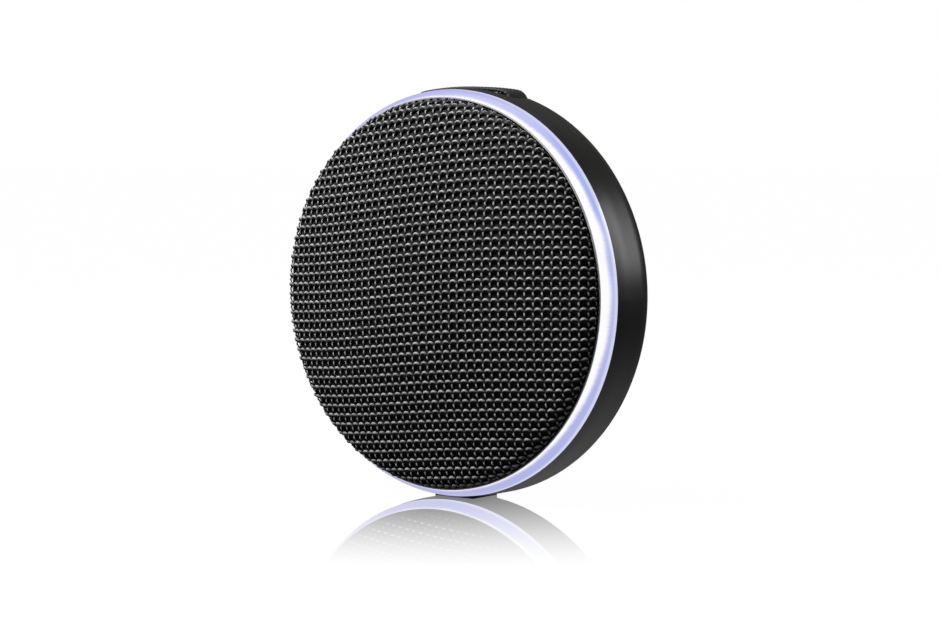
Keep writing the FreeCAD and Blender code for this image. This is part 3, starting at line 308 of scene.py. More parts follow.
def fibrous(name, shade, roughness, pitch=0.7 * MM, **fixed):
    """Paper, treated cloth or foam with a crossed fine texture."""
    finish = Finish(name, **fixed)
    x, _, z = finish.axes()
    crossed = (x * (2 * pi / pitch)).sine().size() * (z * (2 * pi / pitch)).sine().size()
    fuzz = finish.noise(2600.0, detail=4.0)
    finish.feed("Base Color", finish.mix(crossed * 0.5 + fuzz * 0.5, scaled(shade, 0.6), scaled(shade, 1.3)))
    finish.feed("Roughness", roughness + 0.1 * fuzz)
    finish.bump(crossed + fuzz, 0.06 * MM, 0.7)
    return finish


def circuit_finish(name, shade):
    """Solder mask over copper tracks, with pads and vias."""
    finish = Finish(name, Coat_Roughness=0.2)
    _, _, z = finish.axes()
    tracks = (z * (2 * pi / (1.6 * MM)) + finish.noise(160.0, detail=0.0) * 18.0).sine()
    vias = finish.node("ShaderNodeTexVoronoi", {"feature": "F1"}, {"Vector": finish.place(), "Scale": 330.0})
    pad = vias.step(0.2, 0.26, 1.0, 0.0)
    mask = finish.mix(tracks.step(0.55, 0.75), shade, scaled(shade, 1.9))
    finish.feed("Base Color", finish.mix(pad, mask, (0.72, 0.6, 0.3)))
    finish.feed("Metallic", pad)
    finish.feed("Roughness", 0.42 - 0.1 * pad)
    finish.feed("Coat Weight", 0.5 - 0.5 * pad)
    finish.bump(tracks.step(0.55, 0.75), 0.03 * MM, 0.5)
    return finish


def lamp_finish(name, shade):
    """Lamp bodies with a phosphor window."""
    finish = moulded(name, shade, 0.3, Emission_Strength=1.2)
    glowing = finish.noise(1500.0, detail=1.0)
    finish.feed("Emission Color", finish.mix(glowing, (0.75, 0.78, 1.0), (1.0, 1.0, 1.0)))
    return finish


def wound_finish(name, shade):
    """Turns of copper wire side by side."""
    finish = Finish(name, Metallic=1.0, Coat_Weight=0.5)
    _, y, _ = finish.axes()
    turns = (y * (2 * pi / (0.3 * MM))).sine()
    finish.feed("Base Color", finish.mix(turns.step(-1.0, 1.0), scaled(shade, 0.45), shade))
    finish.feed("Roughness", 0.3 + 0.08 * finish.noise(1400.0))
    finish.bump(turns, 0.05 * MM, 0.8)
    return finish


def housing_finish(body):
    """Black soft-touch coating: even satin with a very fine grain and faint handling marks."""
    finish = Finish("housing_soft_touch", Specular_IOR_Level=0.5, Sheen_Weight=0.05, Sheen_Roughness=0.35,
                    Sheen_Tint=(0.8, 0.82, 0.7))
    grain = finish.noise(5200.0, detail=2.0)
    handled = finish.noise(38.0, detail=5.0, roughness=0.6)
    finish.feed("Base Color", finish.mix(handled.step(0.35, 0.7), scaled(body.housing, 0.8),
                                         scaled(body.housing, 1.35)))
    finish.feed("Roughness", body.housing_roughness + 0.07 * handled + 0.03 * grain)
    finish.bump(grain, 0.006 * MM, 0.5)
    return finish


def ring_finish(ring):
    """Frosted light guide: a bright core at the front, a tinted glow behind it and fine radial frosting."""
    finish = Finish("light_ring_glow", Base_Color=(0.02, 0.02, 0.03), Roughness=0.3, Coat_Weight=0.2,
                    Coat_Roughness=0.08, Emission_Strength=ring.strength, IOR=1.49)
    x, _, z = finish.axes()
    right = x - CENTRE.x
    up = z - CENTRE.z
    radius = (right * right + up * up) ** 0.5
    across = (radius - (RING_HIGH.x - RING_WIDTH)) / RING_WIDTH
    bearing = up.angle_to(right)
    slow = finish.noise(26.0, detail=2.0)
    streaks = finish.along(bearing * 95.0, across * 1.3, 0.0)
    frost = finish.noise(scale=1.0, detail=3.0, roughness=0.6, vector=streaks)
    lamps = (bearing * LAMPS).sine()
    brightest, thinnest, growth, waver, blur = 0.15, 0.06, 0.74, 0.16, 0.3
    lit = 0.5 + 0.5 * (bearing + (pi / 2 - brightest)).sine()
    core_end = thinnest + growth * lit ** 5 + waver * (slow - 0.5)
    core = (across - core_end).step(-blur, blur, 1.0, 0.0)
    crest = core + 0.10 * lamps * core + 0.5 * (frost - 0.5)
    shade = finish.mix(crest.step(0.0, 1.0), ring.glow, ring.core)
    cool = (slow - 0.5).step(-0.12, 0.1) * across.step(0.5, 0.85) * lit ** 2
    shade = finish.mix(cool, shade, ring.cool)
    rim = (across - 0.9).step(-0.03, 0.08)
    finish.feed("Emission Color", finish.mix(rim * 0.8, shade, ring.edge))
    finish.bump(frost, 0.02 * MM, 0.4)
    return finish


def yarn_finish(name, cloth, lift, light, narrow):
    """Black twisted yarn, with a painted highlight along one side of its floats and fibre fuzz between."""
    finish = Finish(name, Specular_IOR_Level=0.3)
    crest = finish.attribute("crest")
    turn = finish.attribute("around") * (2 * pi)
    # painted highlight: a band round the yarn at the bearing given by light, lighter under any lamp
    lit = finish.maths("COSINE", turn - (pi / 2 + light)).step(narrow, 0.98)
    twist = (finish.attribute("along") * (2 * pi / (0.75 * MM)) + turn * 2.0).sine()
    fuzz = finish.noise(2400.0, detail=3.0, roughness=0.65)
    specks = finish.noise(1150.0, detail=3.0, roughness=0.7).step(0.5, 0.72)
    # the painted highlight is strongest on the float tops (crest), flecked by the fuzz and the twist
    painted_highlight = crest * lit * (0.55 + 0.6 * fuzz) + 0.07 * twist * crest * lit
    body = finish.mix(specks * 0.5, cloth.yarn, (0.05, 0.05, 0.05))
    finish.feed("Base Color", finish.mix(painted_highlight.step(0.03, 0.95), body, scaled(cloth.crest, lift)))
    finish.feed("Roughness", 0.66 - 0.16 * crest)
    finish.bump(twist * 0.5 + fuzz, 0.05 * MM, 0.5)
    return finish


def webbing_finish():
    """Dark fibres, with a painted highlight on top of the floats and painted shade in the dips."""
    finish = Finish("strap_webbing_yarn", Specular_IOR_Level=0.3)
    crest = finish.attribute("crest")
    fuzz = finish.noise(2600.0, detail=3.0, roughness=0.65)
    # painted shade in the dips and painted highlight on the float tops, blended by crest
    painted_dip_shade, top = (0.004, 0.004, 0.005), (0.03, 0.03, 0.032)
    finish.feed("Base Color", finish.mix(crest * (0.5 + 0.6 * fuzz), painted_dip_shade, top))
    finish.feed("Roughness", 0.66 - 0.1 * crest)
    finish.bump(fuzz, 0.05 * MM, 0.6)
    return finish


def key_finish(name, shade):
    """Keycap: soft-touch like the housing, polished a little where fingers press."""
    finish = moulded(name, shade, 0.45, grain=2600.0, depth=0.01)
    worn = finish.noise(240.0, detail=3.0)
    finish.feed("Roughness", 0.5 - 0.14 * worn.step(0.35, 0.65))
    return finish


WORKS = {
    "inner_plastic": lambda n, c: moulded(n, c, 0.55),
    "circuit": circuit_finish,
    "lamp": lamp_finish,
    "rubber": lambda n, c: moulded(n, (0.014, 0.014, 0.015), 0.72, grain=1600.0, depth=0.04,
                                   Sheen_Weight=0.1),
    "screw_steel": lambda n, c: metal(n, c, 0.32),
    "basket_steel": lambda n, c: moulded(n, c, 0.42, grain=1300.0, Metallic=0.4),
    "cone": lambda n, c: fibrous(n, c, 0.7),
    "copper": wound_finish,
    "spider": lambda n, c: fibrous(n, c, 0.8, 0.9 * MM),
    "iron": lambda n, c: metal(n, c, 0.38),
    "magnet": lambda n, c: moulded(n, c, 0.5, grain=1900.0, Metallic=0.3),
    "brass": lambda n, c: metal(n, c, 0.3),
    "battery_wrap": lambda n, c: moulded(n, c, 0.34, grain=300.0, Coat_Weight=0.3),
    "foam": lambda n, c: fibrous(n, c, 0.9, 0.5 * MM),
    "chip": lambda n, c: moulded(n, c, 0.5, grain=2600.0),
    "can_steel": lambda n, c: metal(n, c, 0.25),
    "ferrite": lambda n, c: moulded(n, c, 0.62, grain=2100.0),
    "capacitor": lambda n, c: metal(n, c, 0.3, grain=1100.0),
    "socket_plastic": lambda n, c: metal(n, c, 0.28),
    "socket_plastic_black": lambda n, c: moulded(n, c, 0.4, grain=1700.0),
    "lead_red": lambda n, c: moulded(n, c, 0.4, grain=800.0),
    "lead_grey": lambda n, c: moulded(n, c, 0.4, grain=800.0),
    "flex": lambda n, c: moulded(n, c, 0.3, grain=500.0, Coat_Weight=0.4),
    "plunger": lambda n, c: moulded(n, c, 0.5, grain=1500.0),
    "keycap": key_finish,
}


def paint(piece, finish):
    piece.data.materials.clear()
    piece.data.materials.append(finish.material)


def nodes_of(slot):
    return [NODES[part["node"]] for part in frame["record"]["subparts"] if part["material_slot"] == slot]


# ---- meshes ----
def finished(name, body, vertices, faces):
    """A piece from plain mesh data."""
    mesh = bpy.data.meshes.new(name)
    mesh.from_pydata(vertices, [], faces)
    mesh.update()
    piece = bpy.data.objects.new(name, mesh)
    bpy.context.scene.collection.objects.link(piece)
    settle(piece, body)
    return piece


def settle(piece, body):
    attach(piece, body)


def note(piece, name, values):
    """A number at each vertex, for the piece's finish."""
    held = piece.data.attributes.new(name, "FLOAT", "POINT")
    held.data.foreach_set("value", np.asarray(values, np.float32))


def pick(piece):
    bpy.ops.object.select_all(action="DESELECT")
    piece.select_set(True)
    bpy.context.view_layer.objects.active = piece


def modify(piece, kind, **settings):
    """Adds a modifier and applies it."""
    pick(piece)
    modifier = piece.modifiers.new(kind.title(), kind)
    for name, value in settings.items():
        setattr(modifier, name, value)
    bpy.ops.object.modifier_apply(modifier=modifier.name)


def primitive(add, **settings):
    """A primitive, added with nothing else selected."""
    bpy.ops.object.select_all(action="DESELECT")
    add(**settings)
    return bpy.context.active_object


def face_out(piece):
    """Turns every face's normal outward."""
    pick(piece)
    bpy.ops.object.mode_set(mode="EDIT")
    bpy.ops.mesh.select_all(action="SELECT")
    bpy.ops.mesh.normals_make_consistent(inside=False)
    bpy.ops.object.mode_set(mode="OBJECT")


def smooth(piece, degrees=40):
    pick(piece)
    bpy.ops.object.shade_smooth_by_angle(angle=radians(degrees))


def unit(vectors):
    return vectors / np.linalg.norm(vectors, axis=-1, keepdims=True)


def smoothstep(values, low, high):
    t = np.clip((values - low) / (high - low), 0.0, 1.0)
    return t * t * (3 - 2 * t)


class Dome:
    """Outer face of the cloth: a shallow cap, a roll at its rim and a hem, measured from the middle."""

    def __init__(self):
        low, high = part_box("grille_cloth")
        self.apex = low.y
        self.rim = (high.x - low.x) / 2
        self.hem = high.y
        self.roll = DOME_ROLL
        self.turn = RING_LOW.y
        inner = self.rim - self.roll
        rise = self.turn - self.apex
        self.cap = (inner ** 2 + rise ** 2 - self.roll ** 2) / (2 * (rise - self.roll))
        self.lean = asin(inner / (self.cap - self.roll))
        self.cap_end = self.cap * self.lean
        self.roll_end = self.cap_end + self.roll * (pi / 2 - self.lean)
        self.end = self.roll_end + self.hem - self.turn

    def profile(self, reach):
        """Radius, depth and lean of the face at a distance from the middle."""
        on_cap = reach < self.cap_end
        lean = np.where(on_cap, reach / self.cap,
                        np.minimum(self.lean + (reach - self.cap_end) / self.roll, pi / 2))
        straight = np.maximum(reach - self.roll_end, 0.0)
        radius = np.where(on_cap, self.cap * np.sin(lean), self.rim - self.roll + self.roll * np.sin(lean))
        y = np.where(on_cap, self.apex + self.cap * (1 - np.cos(lean)),
                     self.turn - self.roll * np.cos(lean) + straight)
        return radius, y, lean

    def place(self, right, up, depth):
        """Points and outward normals of the face, depth under it."""
        reach = np.maximum(np.hypot(right, up), 1e-9)
        radius, y, lean = self.profile(reach)
        way = np.stack([right / reach, np.zeros_like(reach), up / reach], axis=-1)
        normal = way * np.sin(lean)[..., None]
        normal[..., 1] = -np.cos(lean)
        points = way * radius[..., None]
        points[..., 1] = y
        points += (CENTRE.x, 0.0, CENTRE.z)
        return points - normal * np.asarray(depth)[..., None], normal


class Skein:
    """Many yarns gathered in one mesh."""

    def __init__(self, face, sides):
        self.face = face
        self.sides = sides
        self.points, self.faces, self.crest, self.along, self.around = [], [], [], [], []
        self.count = 0

    def lay(self, right, up, depth, half_width, half_height, crest):
        """One yarn along a line on the dome."""
        centre, normal = self.face.place(right, up, depth)
        way = unit(np.gradient(centre, axis=0))
        side = unit(np.cross(normal, way))
        angle = np.arange(self.sides) * (2 * pi / self.sides) - pi / 2
        ring = (centre[:, None] + side[:, None] * (half_width[:, None] * np.cos(angle))[..., None]
                + normal[:, None] * (half_height[:, None] * np.sin(angle))[..., None])
        steps = len(centre)
        travelled = np.concatenate([[0.0], np.cumsum(np.linalg.norm(np.diff(centre, axis=0), axis=1))])
        self.points.append(ring.reshape(-1, 3))
        self.crest.append(np.repeat(crest, self.sides))
        self.along.append(np.repeat(travelled, self.sides))
        self.around.append(np.tile(np.arange(self.sides) / self.sides, steps))
        first = np.arange(self.sides) + self.count
        after = np.roll(first, -1)
        rows = np.arange(steps - 1)[:, None] * self.sides
        quads = np.stack([first + rows, after + rows, after + rows + self.sides, first + rows + self.sides],
                         axis=-1)
        self.faces += quads.reshape(-1, 4).tolist()
        self.faces.append(first[::-1].tolist())
        self.faces.append((first + (steps - 1) * self.sides).tolist())
        self.count += steps * self.sides

    def piece(self, name):
        made = finished(name, "root", np.concatenate(self.points), self.faces)
        # crest carries the strength of the painted highlight to the yarn finish
        note(made, "crest", np.concatenate(self.crest))
        note(made, "along", np.concatenate(self.along))
        note(made, "around", np.concatenate(self.around))
        smooth(made, 60)
        return made


class Yarn(NamedTuple):
    """How a yarn lies in the weave.

    `half` names the setting that holds its half width, and `sides` counts the sides of its section.
    `under`, `rise`, `hidden`, `low` and `swell` are lengths, and the rest are numbers without a unit. `lit`
    is the span of the crown over which the painted highlight grows, and `tone` scales that highlight at
    random.
    """
    half: str
    sides: int
    under: float
    rise: float
    hidden: float
    thin: float
    narrowed: float
    low: float
    swell: float
    flattened: float
    lift: tuple
    tone: tuple
    lit: tuple


ROW = Yarn(half="row_half", sides=8, under=0.66 * MM, rise=0.66 * MM, hidden=0.75 * MM, thin=0.74,
           narrowed=0.35, low=0.4 * MM, swell=0.0, flattened=0.5, lift=(0.8, 1.15), tone=(0.66, 1.05),
           lit=(0.2, 0.85))
COLUMN = Yarn(half="column_half", sides=6, under=0.78 * MM, rise=0.62 * MM, hidden=0.8 * MM, thin=0.55,
              narrowed=0.0, low=0.16 * MM, swell=0.12 * MM, flattened=0.4, lift=(0.8, 1.15),
              tone=(0.72, 1.1), lit=(0.48, 0.95))
SEED = 7
# random values drawn for a yarn, and the one that its middle float takes
CELLS, FIRST_CELL = 220, 100


class SPEAKER_OT_cloth(bpy.types.Operator):
    """Weave the grille cloth over the dome, with its scrim behind it"""
    bl_idname = "speaker.cloth"
    bl_label = "Grille cloth"

    def execute(self, context):
        cloth = context.scene.speaker_cloth
        face = Dome()
        behind_lip, hem_short = 0.9 * MM, 1 * MM
        edge = face.roll_end + behind_lip
        chance = np.random.default_rng(SEED)
        rows = self.rows(cloth, face, edge, chance)
        columns = self.columns(cloth, face, edge, chance)
        cut = face.end - hem_short
        scrim = self.scrim(face, cut)
        # light is the bearing round each yarn where its painted highlight sits
        paint(rows, yarn_finish("cloth_row_yarn", cloth, lift=1.0, light=radians(42), narrow=0.5))
        paint(columns, yarn_finish("cloth_column_yarn", cloth, lift=1.05, light=radians(90), narrow=0.1))
        paint(scrim, fibrous("cloth_scrim_knit", (0.004, 0.004, 0.0045), roughness=0.85, pitch=0.5 * MM))
        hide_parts("grille_cloth")
        2 * cut
        2 * cut
        pi * cut ** 2
        return {"FINISHED"}

    def sway(self, cloth, right, reach):
        """Rise of a row: its slope is gentle at the sides and steeper left of the middle."""
        wave = pi * (right / reach + 0.2)
        return tan(cloth.slope) * right + tan(cloth.swing) * reach / pi * np.sin(wave)

    def chances(self, chance, yarn, cell):
        """How far each float comes up, and how light it is."""
        return [chance.uniform(*span, CELLS)[cell] for span in (yarn.lift, yarn.tone)]

    def strand(self, skein, cloth, yarn, right, up, crown, lift, tone, edge):
        """One yarn over the dome. It sinks and flattens as it goes behind the lip."""
        reach = np.hypot(right, up)
        inside = reach < edge
        if inside.sum() < cloth.steps:
            return
        tucked = smoothstep(reach, edge - 2.6 * MM, edge - 1.2 * MM)
        depth = (yarn.under - yarn.rise * crown * lift) * (1 - tucked) + yarn.hidden * tucked
        swollen = yarn.thin + (1 - yarn.thin) * crown
        width = getattr(cloth, yarn.half) * swollen * (1 - yarn.narrowed * tucked)
        height = (yarn.low + yarn.swell * crown) * (1 - yarn.flattened * tucked)
        # crest: how strongly each point gets the painted highlight, growing over the float's crown
        crest = smoothstep(crown, *yarn.lit) * tone
        skein.lay(*(part[inside] for part in (right, up, depth, width, height, crest)))

    def rows(self, cloth, face, edge, chance):
        skein = Skein(face, ROW.sides)
        pitch = cloth.column_pitch
        count = int(edge / cloth.row_pitch) + 2
        right = np.arange(-edge, edge, pitch / cloth.steps)
        phase = 2 * pi * right / pitch
        crown = 0.5 + 0.5 * np.cos(phase - 0.25 * np.sin(phase))
        cell = np.round(right / pitch).astype(int) + FIRST_CELL
        for row in range(-count, count + 1):
            lift, tone = self.chances(chance, ROW, cell)
            up = row * cloth.row_pitch + self.sway(cloth, right, edge) - cloth.droop * (1 - crown) * lift
            self.strand(skein, cloth, ROW, right, up, crown, lift, tone, edge)
        return skein.piece("cloth_rows")

    def columns(self, cloth, face, edge, chance):
        skein = Skein(face, COLUMN.sides)
        pitch = cloth.row_pitch
        count = int(edge / cloth.column_pitch) + 2
        for column in range(-count, count):
            middle = (column + 0.5) * cloth.column_pitch
            base = float(self.sway(cloth, middle, edge))
            line = np.arange(-edge - base, edge - base, pitch / cloth.steps)
            phase = 2 * pi * (line / pitch - 0.5)
            cell = np.floor(line / pitch).astype(int) + FIRST_CELL
            lift, tone = self.chances(chance, COLUMN, cell)
            crown = 0.5 + 0.5 * np.cos(phase)
            right = middle - cloth.slant * np.sin(phase)
            self.strand(skein, cloth, COLUMN, right, line + base, crown, lift, tone, edge)
        return skein.piece("cloth_columns")

    def scrim(self, face, cut):
        """Fine knit behind the yarns, from the middle to the hem."""
        around, rings, under, thick = 144, 46, 0.93 * MM, 0.05 * MM
        reach = np.linspace(0, cut, rings + 1)[1:]
        bearing = np.arange(around) * 2 * pi / around
        right, up = np.outer(reach, np.cos(bearing)), np.outer(reach, np.sin(bearing))
        points = face.place(right, up, np.full_like(right, under))[0].reshape(-1, 3)
        pole = face.place(np.zeros(1), np.zeros(1), np.full(1, under))[0]
        faces = [(0, 1 + (i + 1) % around, 1 + i)[::-1] for i in range(around)]
        for ring in range(rings - 1):
            near, far = 1 + ring * around, 1 + (ring + 1) * around
            faces += [(near + i, near + (i + 1) % around, far + (i + 1) % around, far + i)[::-1]
                      for i in range(around)]
        piece = finished("cloth_scrim", "root", np.concatenate([pole, points]), faces)
        face_out(piece)
        modify(piece, "SOLIDIFY", thickness=thick, offset=-1.0)
        smooth(piece, 60)
        return piece


class SPEAKER_OT_light_ring(bpy.types.Operator):
    """Give the light ring its glow and the lip its satin finish"""
    bl_idname = "speaker.light_ring"
    bl_label = "Light ring and lip"

    def execute(self, context):
        paint(NODES["light_ring"], ring_finish(context.scene.speaker_ring))
        body = context.scene.speaker_body
        lip = moulded("lip_satin", body.bezel, 0.34, grain=1500.0, depth=0.01, Coat_Weight=0.4)
        for node in nodes_of("bezel"):
            paint(node, lip)
        return {"FINISHED"}


class SPEAKER_OT_housing(bpy.types.Operator):
    """Coat the rear housing"""
    bl_idname = "speaker.housing"
    bl_label = "Rear housing"

    def execute(self, context):
        coated = housing_finish(context.scene.speaker_body)
        for node in nodes_of("housing"):
            paint(node, coated)
        return {"FINISHED"}


class SPEAKER_OT_works(bpy.types.Operator):
    """Give the pieces inside, the keys and the sockets their finishes"""
    bl_idname = "speaker.works"
    bl_label = "Works, keys and sockets"

    def execute(self, context):
        shades = {row["slot"]: row["base_color"] for row in frame["record"]["materials"]}
        for slot, make in WORKS.items():
            dressed = make(f"{slot}_finish", tuple(shades[slot]))
            for node in nodes_of(slot):
                paint(node, dressed)
        return {"FINISHED"}


class SPEAKER_OT_strap(bpy.types.Operator):
    """Weave the strap and loop it round its pins"""
    bl_idname = "speaker.strap"
    bl_label = "Strap"

    def execute(self, context):
        body = context.scene.speaker_body
        line, normal, travelled = self.path()
        piece = self.band(body, line, normal, travelled)
        paint(piece, webbing_finish())
        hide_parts("strap")
        return {"FINISHED"}

    def path(self):
        """Middle line of the strap from one loop, over the crown, to the other."""
        loop, sewn, step = 1.75 * MM, 2.3 * MM, 0.18 * MM
        leg, bend, crown = STRAP_LEG - STRAP_HALF, STRAP_BEND - STRAP_HALF, STRAP_CROWN - STRAP_HALF
        pin_z = spot("strap_pins").z
        crown_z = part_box("strap")[1].z - STRAP_HALF - crown
        shoulder_x = leg - bend
        shoulder_z = crown_z + sqrt((crown - bend) ** 2 - shoulder_x ** 2)
        lean = asin(shoulder_x / (crown - bend))
        round_pin = [(leg + loop * sin(a), pin_z - loop * cos(a))
                     for a in np.linspace(radians(-140), radians(140), 44)]
        rise = [(leg, z) for z in np.linspace(pin_z + sewn, shoulder_z, 14)]
        shoulder = [(shoulder_x + bend * cos(a), shoulder_z + bend * sin(a))
                    for a in np.linspace(0, pi / 2 - lean, 24)]
        over = [(crown * sin(a), crown_z + crown * cos(a)) for a in np.linspace(lean, 0, 60)]
        half_line = np.array(round_pin + rise + shoulder[1:] + over[1:])
        whole = np.concatenate([half_line, half_line[-2::-1] * (-1, 1)])
        lengths = np.concatenate([[0.0], np.cumsum(np.linalg.norm(np.diff(whole, axis=0), axis=1))])
        travelled = np.linspace(0, lengths[-1], int(lengths[-1] / step))
        even = np.stack([np.interp(travelled, lengths, whole[:, i]) for i in range(2)], axis=-1)
        way = unit(np.gradient(even, axis=0))
        normal = np.stack([way[:, 1], -way[:, 0]], axis=-1)
        return even, normal, travelled

    def band(self, body, line, normal, travelled):
        """Webbing along the line: floats on both faces, and a serrated edge."""
        low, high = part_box("strap")
        width, middle = high.y - low.y, (low.y + high.y) / 2
        half, relief, teeth, edge_start = 0.62 * MM, 0.13 * MM, 0.22 * MM, 0.47
        warps = round(width / body.warp)
        across = np.linspace(-0.5, 0.5, warps * 4 + 1)
        yarn = np.clip(np.floor((across + 0.5) * warps), 0, warps - 1)
        shift = np.where(yarn % 2 == 0, 0.0, 0.5)
        rounding = np.sqrt(np.abs(np.sin(pi * (across + 0.5) * warps)))
        body_half = half * np.sqrt(np.clip(1 - (np.abs(across) * 2) ** 14, 0.02, 1))
        points, crest = [], []
        for centre, out, run in zip(line, normal, travelled):
            bulge = np.abs(np.sin(pi * (run / body.rib + shift))) * rounding
            thick = body_half + relief * (bulge - 0.4)
            tooth = teeth * abs(sin(pi * run / body.rib)) * (np.abs(across) > edge_start)
            y = middle + across * (width - 2 * teeth) + np.sign(across) * tooth
            upper, lower = (
                np.stack([CENTRE.x + centre[0] + out[0] * side * thick, y, centre[1] + out[1] * side * thick],
                         axis=-1) for side in (1, -1))
            points.append(np.concatenate([upper, lower[::-1]]))
            crest.append(np.concatenate([bulge, bulge[::-1]]))
        ring = len(points[0])
        last = (len(points) - 1) * ring
        faces = [(a + j, a + (j + 1) % ring, a + ring + (j + 1) % ring, a + ring + j)
                 for a in range(0, last, ring) for j in range(ring)]
        faces += [tuple(range(ring))[::-1], tuple(last + j for j in range(ring))]
        piece = finished("strap_webbing", "root", np.concatenate(points), faces)
        # crest: the bulge of each float, which sets the painted highlight and painted shade of the webbing
        note(piece, "crest", np.concatenate(crest))
        face_out(piece)
        smooth(piece, 70)
        return piece


class SPEAKER_OT_foot(bpy.types.Operator):
    """Mould the rubber foot with a groove round its sole"""
    bl_idname = "speaker.foot"
    bl_label = "Foot"

    def execute(self, context):
        low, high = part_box("foot_pad")
        tall, corner, groove = (high - low).z, 0.6 * MM, 0.35 * MM
        foot = primitive(bpy.ops.mesh.primitive_cube_add, size=1, location=(low + high) / 2)
        foot.name = foot.data.name = "foot_sole"
        foot.scale = high - low
        bpy.ops.object.transform_apply(location=True, rotation=True, scale=True)
        self.choose(foot, "FACE", lambda face: face.normal.z < -0.9)
        for inward, sunk in ((1.1 * MM, 0.0), (0.7 * MM, groove), (0.5 * MM, -groove)):
            bpy.ops.mesh.inset(thickness=inward, depth=0.0)
            if sunk:
                bpy.ops.transform.translate(value=(0, 0, sunk))
        ends = foot.data.vertices
        self.choose(foot, "EDGE", lambda edge: abs(ends[edge.vertices[0]].co.z
                                                   - ends[edge.vertices[1]].co.z) > tall / 2)
        bpy.ops.mesh.bevel(offset=corner, segments=4, affect="EDGES")
        bpy.ops.object.mode_set(mode="OBJECT")
        modify(foot, "BEVEL", width=0.12 * MM, segments=3, limit_method="ANGLE", angle_limit=radians(35))
        smooth(foot)
        settle(foot, "root")
        paint(foot, moulded("foot_rubber", (0.016, 0.016, 0.017), 0.7, grain=1500.0, depth=0.05))
        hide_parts("foot_pad")
        return {"FINISHED"}

    def choose(self, piece, kind, test):
        """In edit mode, selects the faces or edges that pass a test."""
        bpy.ops.object.mode_set(mode="EDIT")
        bpy.ops.mesh.select_mode(type=kind)
        bpy.ops.mesh.select_all(action="DESELECT")
        bpy.ops.object.mode_set(mode="OBJECT")
        for part in piece.data.polygons if kind == "FACE" else piece.data.edges:
            part.select = test(part)
        bpy.ops.object.mode_set(mode="EDIT")


# width of the lines of the symbols
STROKE = 0.42 * MM


class SPEAKER_OT_key_marks(bpy.types.Operator):
    """Mould the plain symbols on the five keys"""
    bl_idname = "speaker.key_marks"
    bl_label = "Key symbols"

    def execute(self, context):
        body = context.scene.speaker_body
        finish = moulded("key_mark_print", body.mark, 0.5, grain=2500.0, depth=0.01)
        aside, ray_reach, ray, long, short = 0.85 * MM, 1.65 * MM, 0.75 * MM, 3.0 * MM, 1.3 * MM
        shapes = {
            "power": [self.hoop(1.55 * MM, 55, 125), self.bar((0, 0.95 * MM), 1.9 * MM, 90)],
            "pair": [self.hoop(0.95 * MM, -35, 35, (-aside, 0)), self.hoop(0.95 * MM, 145, 215, (aside, 0)),
                     self.bar((0, 0), 1.5 * MM, 0)],
            "volume_down": [self.bar((0, 0), long, 0)],
            "volume_up": [self.bar((0, 0), long, 0), self.bar((0, aside), short, 90),
                          self.bar((0, -aside), short, 90)],
            "light": [self.hoop(0.75 * MM, 0, 0)] + [
                self.bar((ray_reach * cos(radians(a)), ray_reach * sin(radians(a))), ray, a)
                for a in range(0, 360, 45)],
        }
        for key, strokes in shapes.items():
            self.print_on(key, strokes, body, finish)
        return {"FINISHED"}

    def hoop(self, radius, gap_start, gap_end, centre=(0, 0)):
        """A flat ring with an opening between two bearings."""
        inner, outer = radius - STROKE / 2, radius + STROKE / 2
        ring = primitive(bpy.ops.mesh.primitive_circle_add, vertices=72, radius=inner, fill_type="NOTHING")
        bpy.ops.object.mode_set(mode="EDIT")
        bpy.ops.mesh.select_all(action="SELECT")
        bpy.ops.mesh.extrude_edges_move()
        bpy.ops.transform.resize(value=(outer / inner, outer / inner, 1))
        bpy.ops.mesh.select_mode(type="FACE")
        bpy.ops.mesh.select_all(action="DESELECT")
        bpy.ops.object.mode_set(mode="OBJECT")
        for face in ring.data.polygons:
            x, y, _ = face.center
            bearing = np.degrees(np.arctan2(y, x))
            face.select = any(gap_start < bearing + turn < gap_end for turn in (0, 360))
        bpy.ops.object.mode_set(mode="EDIT")
        bpy.ops.mesh.delete(type="FACE")
        bpy.ops.object.mode_set(mode="OBJECT")
        ring.location = (*centre, 0)
        return ring

    def bar(self, centre, long, bearing):
        """A flat bar with round ends."""
        made = primitive(bpy.ops.mesh.primitive_plane_add, size=1, location=(*centre, 0),
                         rotation=(0, 0, radians(bearing)))
        made.scale = (long, STROKE, 1)
        bpy.ops.object.transform_apply(location=False, rotation=False, scale=True)
        bpy.ops.object.mode_set(mode="EDIT")
        bpy.ops.mesh.select_all(action="SELECT")
        bpy.ops.mesh.bevel(offset=STROKE * 0.45, segments=5, affect="VERTICES")
        bpy.ops.object.mode_set(mode="OBJECT")
        return made

    def print_on(self, key, strokes, body, finish):
        """Joins the strokes into one raised mark and lays it on its key."""
        low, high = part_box(f"{key}_key")
        bpy.ops.object.select_all(action="DESELECT")
        for stroke in strokes:
            stroke.select_set(True)
        mark = strokes[0]
        bpy.context.view_layer.objects.active = mark
        if len(strokes) > 1:
            bpy.ops.object.join()
        bpy.ops.object.transform_apply(location=True, rotation=True, scale=True)
        mark.name = mark.data.name = f"{key}_mark"
        modify(mark, "SOLIDIFY", thickness=body.mark_height, offset=0.0)
        modify(mark, "BEVEL", width=0.04 * MM, segments=2, limit_method="ANGLE", angle_limit=radians(50))
        facing_back = Matrix(((-1, 0, 0), (0, 0, 1), (0, 1, 0))).to_4x4()
        middle = (low + high) / 2
        mark.matrix_world = Matrix.Translation((middle.x, high.y, middle.z)) @ facing_back
        pick(mark)
        bpy.ops.object.transform_apply(location=True, rotation=True, scale=True)
        face_out(mark)
        smooth(mark)
        settle(mark, key)
        paint(mark, finish)


# each light's place toward the camera, to its right and up, and its width and height
SOFTBOXES = {
    "key": ((0.14, -0.34, 0.5), (0.3, 0.3)),
    "side": ((-0.1, 0.62, 0.22), (0.12, 0.3)),
    "top": ((-0.15, 0.0, 0.7), (0.6, 0.4)),
}


